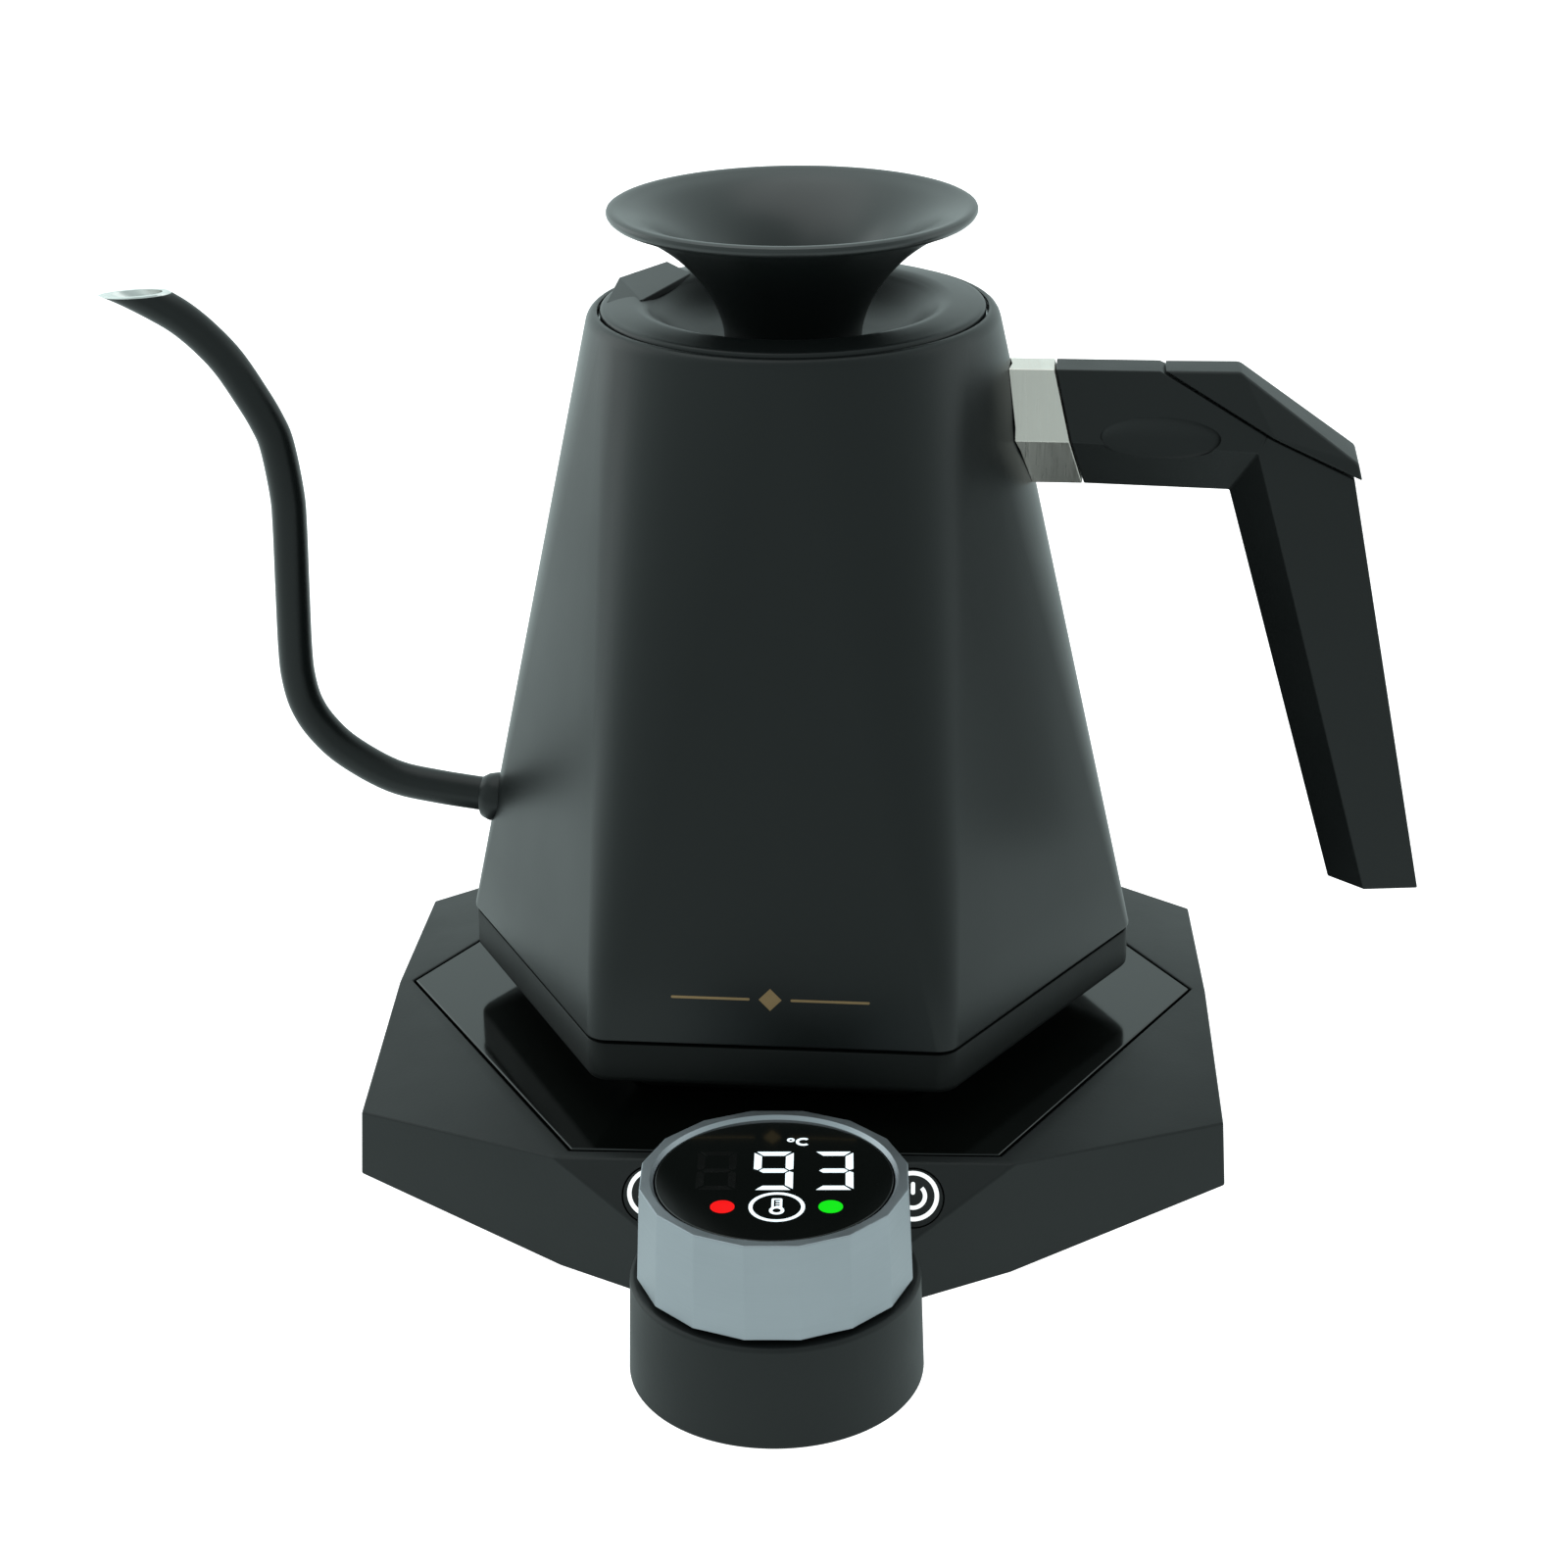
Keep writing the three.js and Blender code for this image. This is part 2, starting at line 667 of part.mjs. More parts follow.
// A ring inside the mouth carries the lid.
const neckRing = loft([bodySection(178, shellWall + gap), bodySection(lidRim - 2.4, shellWall + gap)]);
place(kettleGroup, "neck_ring", cut(neckRing, rod(39.5, 170, 190, 0, 0, roundSides)), bareSteel);

// ---------------------------------------------------------------- spout

const spoutCurve = new THREE.CatmullRomCurve3([
  [-62, 70.9], [-69, 71.8], [-82, 73.6], [-92, 75.9], [-101.8, 81.6], [-107.4, 87.2],
  [-110.6, 92.8], [-112, 99], [-112.3, 106], [-111.9, 120], [-111.4, 135], [-111.5, 142.5],
  [-112.9, 153.2], [-114.7, 158.4], [-117.5, 163.8], [-122.1, 171.4], [-126.8, 176.8],
  [-131.6, 181], [-136.5, 184], [-142.7, 187.2], [-148, 189.4], [-154, 191.5],
].map(([x, z]) => new THREE.Vector3(x, 0, z)));

const aboveCut = block(60, 40, 20, 0, 0, 10)
  .rotate([0, -spoutCutTilt, 0])
  .translate([-142, 0, spoutCut]);
const spoutTube = cut(
  tube(spoutRadius, spoutCurve, spoutSteps, 10),
  tube(spoutBore, spoutCurve, spoutSteps, 10),
  aboveCut,
);
place(kettleGroup, "spout_tube", cut(spoutTube, block(10, 20, 20, -60, 0, 70)), paintedSteel);

const keepClear = loft([bodySection(shellBottom, -gap), bodySection(shellTop, -gap)]);
const spoutCollar = cut(
  ring(spoutRadius + gap, 5.6, 0, 7, 24).rotate([0, -90, 0]).translate([-64, 0, spoutRoot]),
  keepClear,
  tube(spoutRadius + gap, spoutCurve, spoutSteps, 10),
);
place(kettleGroup, "spout_collar", spoutCollar, paintedSteel);

function buildStrainer() {
  let disc = rod(9, 0, 0.8, 0, 0, 24);
  for (let k = 0; k < 7; k += 1) {
    const reach = k === 0 ? 0 : 4.6;
    const [x, y] = polar(reach, k * cornerAngle, 0);
    disc = cut(disc, rod(1, -1, 2, x, y, 6));
  }
  return disc.rotate([0, 90, 0]).translate([-62.5, 0, spoutRoot]);
}
place(kettleGroup, "spout_strainer", buildStrainer(), bareSteel);

// ---------------------------------------------------------------- handle

// Each station is [x, z, half-width]. The handle is a six-sided bar: a narrow outer face,
// a wide ridge on each side, and a narrow inner face where the fingers rest.
const mitre = {
  inner: [92.2, 148.6, handleFace],
  ridge: [97.6, 158.8, handleHalfWidth],
  armOuter: [105.9, armTop, handleFace],
  legOuter: [111.4, 184.2, 6],
};
const legEnd = [
  [117.6, legBottom, handleFace],
  [125, legBottom, handleHalfWidth],
  [136.7, legBottom, 9.3],
];
const seam = [[76.9, armTop], [100.6, 161.2], [118.9, 151.6]];

function ferruleCut(z) {
  return 55.3 + (armTop - z) * 0.262;
}

function armSection(shift) {
  return [
    [ferruleCut(armTop) + shift, armTop, handleFace],
    [ferruleCut(armRidge) + shift, armRidge, handleHalfWidth],
    [ferruleCut(armBottom) + shift, armBottom, handleFace],
  ];
}

function bar(...stations) {
  return hull(stations.flatMap(([x, z, half]) => [[x, -half, z], [x, half, z]]));
}

const armBore = rod(4, 0, 60).rotate([0, 90, 0]);

function buildFerrule() {
  const blank = bar(...armSection(-gap), ...armSection(-18));
  return cut(blank, keepClear, armBore.translate([30, 0, armMiddle]));
}

function buildGrip() {
  const arm = bar(...armSection(0), mitre.inner, mitre.ridge, mitre.armOuter);
  const leg = bar(mitre.inner, mitre.ridge, mitre.legOuter, ...legEnd);
  const overSeam = [[150, 151.6], [150, 195], [76.6, 195], ...seam];
  return cut(
    join(arm, leg),
    sidePrism(overSeam.reverse(), 2 * handleHalfWidth),
    armBore.translate([50, 0, armMiddle]),
  );
}

function buildHandleCap() {
  const lift = gap + 0.1;
  return bar(
    [seam[0][0] + 0.9, seam[0][1], handleFace],
    [seam[1][0], seam[1][1] + lift, 10.8],
    [seam[2][0] + 0.6, seam[2][1] + lift, 8],
    [118.6, 155.6, 7.3],
    [93.5, armTop + 0.1, handleFace + 0.1],
  );
}

place(kettleGroup, "handle_ferrule", buildFerrule(), brushedSteel);
place(kettleGroup, "handle_grip", buildGrip(), gripRubber);
place(kettleGroup, "handle_cap", buildHandleCap(), gripRubber);
const post = rod(3.6, 0, 30).rotate([0, 90, 0]).translate([handleScrewX - 30, 0, armMiddle]);
place(kettleGroup, "handle_post", cut(post, keepClear), bareSteel);
const handleScrew = join(rod(1.8, 0, 6.5), rod(3.5, 6, 8.6)).rotate([0, 90, 0]);
const screwAt = [handleScrewX + gap, 0, armMiddle];
place(kettleGroup, "handle_screw", handleScrew, bareSteel, ...screwAt);

// ---------------------------------------------------------------- lid

const lidDisc = turned([
  [0, lidDish - 1.8], [16, lidDish - 1.8], [22, 178.2], [27, 181.6], [31, 184.2], [34, 184.7],
  [lidRadius, 184.5], [lidRadius, lidRim - 0.7], [lidRadius - 0.8, lidRim], [36.5, lidRim + 0.6],
  [33, lidRim + 0.7], [30.6, lidRim - 0.2], [28.4, 184.6], [25, 181.6], [20.5, 179.4],
  [15.5, lidDish], [0, lidDish],
]);
place(lidGroup, "lid_disc", cut(lidDisc, rod(2.2, 170, 190)), paintedSteel);

// A wedge-shaped hood over the steam vent, at the back left of the rim.
function buildVentHood() {
  const at = (radius, degrees, z) => polar(radius, THREE.MathUtils.degToRad(degrees), z);
  const low = lidRim - 3;
  const corners = [
    [40.2, 163, lidRim + 1.8], [40.2, 138.5, lidRim + 1.8], [31.8, 139.5, lidRim + 0.9],
    [31.7, 185, lidRim + 0.8], [39.2, 184, lidRim + 0.4],
  ];
  const wedge = hull(corners.flatMap(([r, degrees, z]) => [at(r, degrees, z), at(r, degrees, low)]));
  const bed = turned([
    [0, 170], [60, 170], [60, lidRim + gap], [lidRadius - 0.6, lidRim + gap],
    [36.5, lidRim + 0.6 + gap], [33, lidRim + 0.7 + gap], [0, lidRim + 0.7 + gap],
  ]);
  return cut(wedge, bed);
}
place(lidGroup, "vent_hood", buildVentHood(), paintedSteel);

const lidLiner = cut(
  rod(38.6, 172, 184.1, 0, 0, roundSides),
  rod(36.8, 173.6, 190, 0, 0, roundSides),
);
place(lidGroup, "lid_liner", lidLiner, blackPlastic);
place(lidGroup, "lid_seal", ring(38.6 + gap, 39.3, 179, 182, roundSides), silicone);

const flare = turned([
  [0, lidDish + gap], [14.4, lidDish + gap], [14.8, 182], [16.2, 186.3], [18.5, 190.4],
  [21.6, 194.3], [25.7, 198.2], [31, 202], [36, 204.6], [flareRadius - 0.3, 205.4],
  [flareRadius, 206.3], [flareRadius - 0.8, flareTop], [36.5, flareTop], [31.5, 205.4],
  [26.6, 202.4], [22, 198.5], [17.9, 193.6], [14.6, 188], [12.4, 184], [0, 183],
]);
place(lidGroup, "lid_flare", cut(flare, rod(1.9, 170, 181.5)), paintedSteel);
const lidScrew = join(rod(3.6, lidDish - 3.6, lidDish - 1.8 - gap), rod(1.6, lidDish - 2.5, 181));
place(lidGroup, "lid_screw", lidScrew, bareSteel);

// ---------------------------------------------------------------- origin

// The origin is the middle of the assembly's own box, on the table.
kettleAssembly.updateMatrixWorld(true);
const box = new THREE.Box3().setFromObject(kettleAssembly, true);
const centre = box.getCenter(new THREE.Vector3());
for (const group of [baseGroup, kettleGroup]) {
  group.position.set(-centre.x, -centre.y, -box.min.z);
}

export default kettleAssembly;
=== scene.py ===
import math

import bmesh
import bpy
from mathutils import Matrix, Vector
from mathutils.geometry import interpolate_bezier


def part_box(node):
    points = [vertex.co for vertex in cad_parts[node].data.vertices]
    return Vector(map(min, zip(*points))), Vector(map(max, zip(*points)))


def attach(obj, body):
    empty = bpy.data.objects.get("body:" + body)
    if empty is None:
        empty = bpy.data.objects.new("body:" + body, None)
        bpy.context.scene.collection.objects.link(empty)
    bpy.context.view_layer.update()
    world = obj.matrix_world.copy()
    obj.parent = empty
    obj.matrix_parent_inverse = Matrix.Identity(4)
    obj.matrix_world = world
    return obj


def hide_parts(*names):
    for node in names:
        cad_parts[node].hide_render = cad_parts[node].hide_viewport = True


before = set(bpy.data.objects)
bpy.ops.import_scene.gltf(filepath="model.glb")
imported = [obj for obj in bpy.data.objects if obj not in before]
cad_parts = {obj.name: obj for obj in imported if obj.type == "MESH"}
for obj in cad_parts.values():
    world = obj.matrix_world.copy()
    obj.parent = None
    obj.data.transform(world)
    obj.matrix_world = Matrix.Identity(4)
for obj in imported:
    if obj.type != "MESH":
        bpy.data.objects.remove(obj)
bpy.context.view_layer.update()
scene = bpy.context.scene
print("frame:", len(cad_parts), "nodes")

# Shapes below are in millimetres round the kettle's axis, unless a line says otherwise, and
# finishPiece puts each one in its place in the frame. Angles are in degrees.
layout = {
    "kettleTurn": -2.95,        # how far the kettle is turned on its base
    "knobTurn": 1.5,
}
millimetre = Matrix.Scale(0.001, 4)


def middleOf(node):
    low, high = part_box(node)
    return (low + high) / 2


def turnBy(degrees, axis):
    return Matrix.Rotation(math.radians(degrees), 4, axis)


axisAt = middleOf("turning_collar")
knobAt = middleOf("display_window")
basePlace = Matrix.Translation((axisAt.x, axisAt.y, 0)) @ millimetre
knobPlace = Matrix.Translation((knobAt.x, knobAt.y, 0)) @ millimetre
turned = turnBy(layout["kettleTurn"], "Z")
kettlePlace = Matrix.Translation((axisAt.x, axisAt.y, 0)) @ turned @ millimetre


# camera, placed from the kettle's axis, and three soft panels, all in metres

view = {
    "fromAxis": (0.03031, -0.64724, 0.35325),
    "heading": 2.956,           # left of the +Y direction
    "downward": 23.117,
    "roll": -0.707,
    "lens": 72.446,
}
cameraData = bpy.data.cameras.new("camera")
cameraData.lens = view["lens"]
cameraData.sensor_width = 36
cameraData.clip_start = 0.02
camera = bpy.data.objects.new("camera", cameraData)
scene.collection.objects.link(camera)
camera.matrix_world = (
    Matrix.Translation(Vector((axisAt.x, axisAt.y, 0)) + Vector(view["fromAxis"]))
    @ turnBy(view["heading"], "Z")
    @ turnBy(90 - view["downward"], "X")
    @ turnBy(view["roll"], "Z")
)
scene.camera = camera

panels = {
    "leftPanel": {"at": (-1.2, 0.5, 0.5), "size": (0.9, 1.2), "power": 2.0},
    "rightPanel": {"at": (1.2, 0.3, 0.5), "size": (0.8, 1.1), "power": 0.8},
    "topPanel": {"at": (-0.2, 0.2, 1.4), "size": (1.2, 1.0), "power": 2.0},
}
aimPoint = Vector((0, 0, 0.1))
for name, panel in panels.items():
    lightData = bpy.data.lights.new(name, "AREA")
    lightData.shape = "RECTANGLE"
    lightData.size, lightData.size_y = panel["size"]
    lightData.energy = panel["power"]
    lamp = bpy.data.objects.new(name, lightData)
    lamp.location = panel["at"]
    lamp.rotation_euler = (aimPoint - lamp.location).to_track_quat("-Z", "Y").to_euler()
    scene.collection.objects.link(lamp)
print("camera and", len(panels), "lights")


# node helpers

def addNode(tree, kind, sockets=None, **settings):
    node = tree.nodes.new(kind)
    for key, value in settings.items():
        setattr(node, key, value)
    for key, value in (sockets or {}).items():
        node.inputs[key].default_value = value
    return node


def join(tree, source, target):
    tree.links.new(source, target)


def newGroup(name, inputs, outputs):
    tree = bpy.data.node_groups.new(name, "ShaderNodeTree")
    for title, kind, value in inputs:
        socket = tree.interface.new_socket(title, in_out="INPUT", socket_type=kind)
        socket.default_value = value
    for title, kind in outputs:
        tree.interface.new_socket(title, in_out="OUTPUT", socket_type=kind)
    return tree, addNode(tree, "NodeGroupInput"), addNode(tree, "NodeGroupOutput")


def buildDrift():
    # slow, faint change of shade over a surface, with finer mottling inside it
    tree, given, result = newGroup(
        "shadeDrift",
        [
            ("Color", "NodeSocketColor", (0.1, 0.1, 0.1, 1)),
            ("Spread", "NodeSocketFloat", 0.06),
            ("Scale", "NodeSocketFloat", 30.0),
        ],
        [("Color", "NodeSocketColor"), ("Value", "NodeSocketFloat")],
    )
    where = addNode(tree, "ShaderNodeTexCoord")
    cloud = addNode(tree, "ShaderNodeTexNoise", {"Detail": 5.0, "Roughness": 0.6})
    low = addNode(tree, "ShaderNodeMath", {0: 1.0}, operation="SUBTRACT")
    high = addNode(tree, "ShaderNodeMath", {0: 1.0}, operation="ADD")
    spread = addNode(tree, "ShaderNodeMapRange", {"From Min": 0.3, "From Max": 0.7})
    shade = addNode(tree, "ShaderNodeVectorMath", operation="SCALE")
    join(tree, where.outputs["Object"], cloud.inputs["Vector"])
    join(tree, given.outputs["Scale"], cloud.inputs["Scale"])
    join(tree, given.outputs["Spread"], low.inputs[1])
    join(tree, given.outputs["Spread"], high.inputs[1])
    join(tree, cloud.outputs["Fac"], spread.inputs["Value"])
    join(tree, low.outputs[0], spread.inputs["To Min"])
    join(tree, high.outputs[0], spread.inputs["To Max"])
    join(tree, given.outputs["Color"], shade.inputs[0])
    join(tree, spread.outputs["Result"], shade.inputs["Scale"])
    join(tree, shade.outputs["Vector"], result.inputs["Color"])
    join(tree, cloud.outputs["Fac"], result.inputs["Value"])
    return tree


def buildGrain():
    # fine pebbled texture of moulded plastic or powder coat
    tree, given, result = newGroup(
        "fineGrain",
        [("Scale", "NodeSocketFloat", 1500.0), ("Pebble", "NodeSocketFloat", 0.5)],
        [("Height", "NodeSocketFloat")],
    )
    where = addNode(tree, "ShaderNodeTexCoord")
    fine = addNode(tree, "ShaderNodeTexNoise", {"Detail": 2.0, "Roughness": 0.55})
    cells = addNode(tree, "ShaderNodeTexVoronoi", feature="SMOOTH_F1")
    blend = addNode(tree, "ShaderNodeMix", data_type="FLOAT")
    join(tree, where.outputs["Object"], fine.inputs["Vector"])
    join(tree, where.outputs["Object"], cells.inputs["Vector"])
    join(tree, given.outputs["Scale"], fine.inputs["Scale"])
    join(tree, given.outputs["Scale"], cells.inputs["Scale"])
    join(tree, given.outputs["Pebble"], blend.inputs["Factor"])
    join(tree, fine.outputs["Fac"], blend.inputs["A"])
    join(tree, cells.outputs["Distance"], blend.inputs["B"])
    join(tree, blend.outputs["Result"], result.inputs["Height"])
    return tree


def buildBrushed():
    # long fine scratches that run across the stretched axis
    tree, given, result = newGroup(
        "brushedLines",
        [("Stretch", "NodeSocketVector", (40.0, 40.0, 3000.0))],
        [("Value", "NodeSocketFloat"), ("Height", "NodeSocketFloat")],
    )
    where = addNode(tree, "ShaderNodeTexCoord")
    stretch = addNode(tree, "ShaderNodeVectorMath", operation="MULTIPLY")
    lines = addNode(tree, "ShaderNodeTexNoise", {"Scale": 1.0, "Detail": 3.0, "Roughness": 0.7})
    join(tree, where.outputs["Object"], stretch.inputs[0])
    join(tree, given.outputs["Stretch"], stretch.inputs[1])
    join(tree, stretch.outputs["Vector"], lines.inputs["Vector"])
    join(tree, lines.outputs["Fac"], result.inputs["Value"])
    join(tree, lines.outputs["Fac"], result.inputs["Height"])
    return tree


driftGroup = buildDrift()
grainGroup = buildGrain()
brushedGroup = buildBrushed()

# One entry for each finish: its material slot in the record, its colour as on a screen, its
# lowest and highest roughness, and its drift of shade (spread, scale). "grain" is (scale,
# pebble, depth in metres), "brushed" (stretch, depth), "shader" goes on the shader's sockets.
finishes = {
    "bodyPaint": {
        "slot": "painted_steel", "color": (19, 22, 22), "rough": (0.31, 0.37),
        "drift": (0.05, 22), "grain": (2400, 0.35, 0.000012),
        "shader": {"Specular IOR Level": 0.43},
    },
    # the flare's paint is a lighter, shinier copy of the body paint: painted light on the flare
    "flarePaintLitCopy": {
        "slot": "painted_steel", "color": (24, 27, 27), "rough": (0.29, 0.35),
        "drift": (0.05, 22), "grain": (2400, 0.35, 0.000012),
        "shader": {"Specular IOR Level": 0.85},
    },
    "basePlastic": {
        "slot": "charcoal_plastic", "color": (22, 24, 24), "rough": (0.44, 0.52),
        "drift": (0.05, 30), "grain": (1500, 0.5, 0.00002),
        "shader": {"Specular IOR Level": 0.43},
    },
    # a darker, less shiny copy of the base plastic: painted shade for the dark plate mirrored in
    # the skirt's band
    "skirtPlasticShaded": {
        "slot": "charcoal_plastic", "color": (14, 16, 15), "rough": (0.46, 0.54),
        "drift": (0.05, 30), "grain": (1500, 0.5, 0.00002),
        "shader": {"Specular IOR Level": 0.24},
    },
    "gripPlastic": {
        "slot": "grip_rubber", "color": (19, 21, 21), "rough": (0.42, 0.5),
        "drift": (0.06, 35), "grain": (1900, 0.5, 0.00002),
        "shader": {"Specular IOR Level": 0.45},
    },
    "plateGloss": {
        "slot": "black_glass", "color": (10, 12, 10), "rough": (0.06, 0.13),
        "drift": (0.1, 14), "grain": (90, 0.0, 0.000002),
        "shader": {"Coat Weight": 0.1, "Coat Roughness": 0.03},
    },
    "knobMetal": {
        "slot": "satin_silver", "color": (180, 185, 191), "rough": (0.38, 0.48),
        "drift": (0.03, 40), "brushed": ((60, 60, 5200), 0.000004),
        "shader": {"Metallic": 1.0, "Anisotropic": 0.3},
    },
    "brushedSteel": {
        "slot": "brushed_steel", "color": (246, 238, 230), "rough": (0.26, 0.42),
        "drift": (0.03, 40), "brushed": ((5200, 90, 90), 0.000006),
        "shader": {"Metallic": 1.0, "Anisotropic": 0.5},
    },
    "plainSteel": {
        "slot": "bare_steel", "color": (196, 200, 200), "rough": (0.2, 0.34),
        "drift": (0.05, 45), "brushed": ((1400, 1400, 160), 0.000003),
        "shader": {"Metallic": 1.0},
    },
    "footRubber": {
        "slot": "black_rubber", "color": (24, 26, 26), "rough": (0.75, 0.88),
        "drift": (0.12, 60), "grain": (1200, 0.3, 0.00004),
        "shader": {"Specular IOR Level": 0.35},
    },
    "blackPlastic": {
        "slot": "black_plastic", "color": (22, 24, 24), "rough": (0.4, 0.5),
        "drift": (0.08, 40), "grain": (1500, 0.5, 0.00002),
        "shader": {"Specular IOR Level": 0.5},
    },
    "boardGreen": {
        "slot": "circuit_board", "color": (26, 74, 44), "rough": (0.35, 0.55),
        "drift": (0.2, 160), "grain": (700, 0.8, 0.00003),
        "shader": {"Coat Weight": 0.3},
    },
    "contactCopper": {
        "slot": "copper", "color": (190, 138, 92), "rough": (0.22, 0.4),
        "drift": (0.08, 120), "brushed": ((900, 900, 3000), 0.000004),
        "shader": {"Metallic": 1.0},
    },
    "sealSilicone": {
        "slot": "silicone", "color": (186, 190, 188), "rough": (0.45, 0.6),
        "drift": (0.04, 60), "grain": (800, 0.2, 0.00001),
        "shader": {"Subsurface Weight": 0.1},
    },
    # white print on the keys, with a faint glow added: real print, painted light in its glow
    "whitePrintGlowing": {
        "slot": "silicone", "color": (236, 240, 238), "rough": (0.4, 0.5),
        "drift": (0.03, 300), "grain": (2500, 0.3, 0.000004),
        "shader": {"Emission Strength": 0.85}, "glow": (250, 252, 252),
    },
    "bronzePrint": {
        "slot": "copper", "color": (168, 138, 100), "rough": (0.34, 0.46),
        "drift": (0.06, 300), "grain": (2500, 0.3, 0.000004),
        "shader": {"Metallic": 0.7},
    },
    # a brighter copy of the bare steel: painted glint on the spout's cut edge and lining
    "tipSteelGlint": {
        "slot": "bare_steel", "color": (246, 246, 244), "rough": (0.3, 0.4),
        "drift": (0.02, 45), "brushed": ((1400, 1400, 160), 0.000001),
        "shader": {"Metallic": 1.0},
    },
    "litWhite": {
        "slot": "silicone", "color": (226, 238, 244), "rough": (0.3, 0.4),
        "drift": (0.02, 200), "grain": (2000, 0.2, 0.000002),
        "shader": {"Emission Strength": 1.0}, "glow": (232, 244, 250),
    },
    "unlitGrey": {
        "slot": "black_glass", "color": (17, 17, 16), "rough": (0.2, 0.3),
        "drift": (0.04, 200), "grain": (2000, 0.2, 0.000002),
        "shader": {},
    },
    "litRed": {
        "slot": "copper", "color": (110, 6, 6), "rough": (0.3, 0.4),
        "drift": (0.03, 200), "grain": (2000, 0.2, 0.000002),
        "shader": {"Emission Strength": 0.9}, "glow": (250, 8, 10),
    },
    "litGreen": {
        "slot": "circuit_board", "color": (6, 100, 12), "rough": (0.3, 0.4),
        "drift": (0.03, 200), "grain": (2000, 0.2, 0.000002),
        "shader": {"Emission Strength": 0.9}, "glow": (8, 236, 14),
    },
}


def linear(color):
    parts = [part / 255 for part in color]
    return [p / 12.92 if p <= 0.04045 else ((p + 0.055) / 1.055) ** 2.4 for p in parts] + [1]


def placeGroup(tree, group, sockets):
    node = addNode(tree, "ShaderNodeGroup", node_tree=group)
    for key, value in sockets.items():
        node.inputs[key].default_value = value
    return node


def buildFinish(name, finish):
    material = bpy.data.materials.new(name)
    material.use_nodes = True
    tree = material.node_tree
    shader = tree.nodes["Principled BSDF"]
    spread, driftScale = finish["drift"]
    settings = {"Color": linear(finish["color"]), "Spread": spread, "Scale": driftScale}
    drift = placeGroup(tree, driftGroup, settings)
    join(tree, drift.outputs["Color"], shader.inputs["Base Color"])
    if "brushed" in finish:
        stretch, depth = finish["brushed"]
        texture = placeGroup(tree, brushedGroup, {"Stretch": stretch})
        pattern = texture.outputs["Value"]
    else:
        scale, pebble, depth = finish["grain"]
        texture = placeGroup(tree, grainGroup, {"Scale": scale, "Pebble": pebble})
        pattern = drift.outputs["Value"]
    smooth, rough = finish["rough"]
    levels = {"From Min": 0.3, "From Max": 0.7, "To Min": smooth, "To Max": rough}
    roughness = addNode(tree, "ShaderNodeMapRange", levels)
    join(tree, pattern, roughness.inputs["Value"])
    join(tree, roughness.outputs["Result"], shader.inputs["Roughness"])
    bump = addNode(tree, "ShaderNodeBump", {"Strength": 1.0, "Distance": depth})
    join(tree, texture.outputs["Height"], bump.inputs["Height"])
    join(tree, bump.outputs["Normal"], shader.inputs["Normal"])
    for key, value in finish["shader"].items():
        shader.inputs[key].default_value = value
    if "glow" in finish:
        shader.inputs["Emission Color"].default_value = linear(finish["glow"])
    return material


materials = {name: buildFinish(name, finish) for name, finish in finishes.items()}
print("finishes:", len(materials))


# shape helpers

def roundBar(bm, sides, radius, low, high, topRadius=None, corner=0, x=0, y=0):
    # an upright bar or cone; one of its corners points at the angle given
    turn = turnBy(corner - 90, "Z")
    made = bmesh.ops.create_cone(
        bm, cap_ends=True, cap_tris=False, segments=sides, radius1=radius,
        radius2=radius if topRadius is None else topRadius, depth=high - low,
        matrix=Matrix.Translation((x, y, (low + high) / 2)) @ turn,
    )
    return made["verts"]


def newBar(sides, radius, low, high, **more):
    bm = bmesh.new()
    roundBar(bm, sides, radius, low, high, **more)
    return bm


def faceOutwards(bm):
    bmesh.ops.recalc_face_normals(bm, faces=bm.faces)


def placed(bm, matrix):
    bmesh.ops.transform(bm, matrix=matrix, verts=bm.verts)
    return bm


def spinProfile(bm, profile, steps, x=0, y=0, closed=True):
    # turns a profile of (radius, height) about an upright axis
    old = set(bm.verts)
    verts = [bm.verts.new((radius, 0, z)) for radius, z in profile]
    edges = [bm.edges.new(pair) for pair in zip(verts, verts[1:])]
    if closed:
        edges.append(bm.edges.new((verts[-1], verts[0])))
    bmesh.ops.spin(
        bm, geom=verts + edges, cent=(0, 0, 0), axis=(0, 0, 1), angle=math.radians(360),
        steps=steps, use_merge=True,
    )
    made = [v for v in bm.verts if v not in old]
    bmesh.ops.translate(bm, vec=(x, y, 0), verts=made)
    bmesh.ops.remove_doubles(bm, verts=bm.verts, dist=0.0005)
    faceOutwards(bm)


def smoothLine(points, perSpan):
    # an even curve through points, for profiles and paths
    knots = [Vector(p).to_3d() for p in points]
    ends = [knots[0] * 2 - knots[1]] + knots + [knots[-1] * 2 - knots[-2]]
    line = []
    for before, first, last, after in zip(ends, ends[1:], ends[2:], ends[3:]):
        out = first + (last - before) / 6
        into = last - (after - first) / 6
        line += interpolate_bezier(first, out, into, last, perSpan + 1)[:-1]
    line.append(knots[-1])
    return line


def softenEdges(bm, width, segments=3, sharperThan=30, chosen=None):
    edges = [
        e for e in bm.edges
        if len(e.link_faces) == 2
        and math.degrees(e.calc_face_angle()) > sharperThan
        and (chosen is None or chosen(e))
    ]
    bmesh.ops.bevel(
        bm, geom=edges, offset=width, offset_type="OFFSET", segments=segments,
        profile=0.5, affect="EDGES", clamp_overlap=True, material=-1,
    )


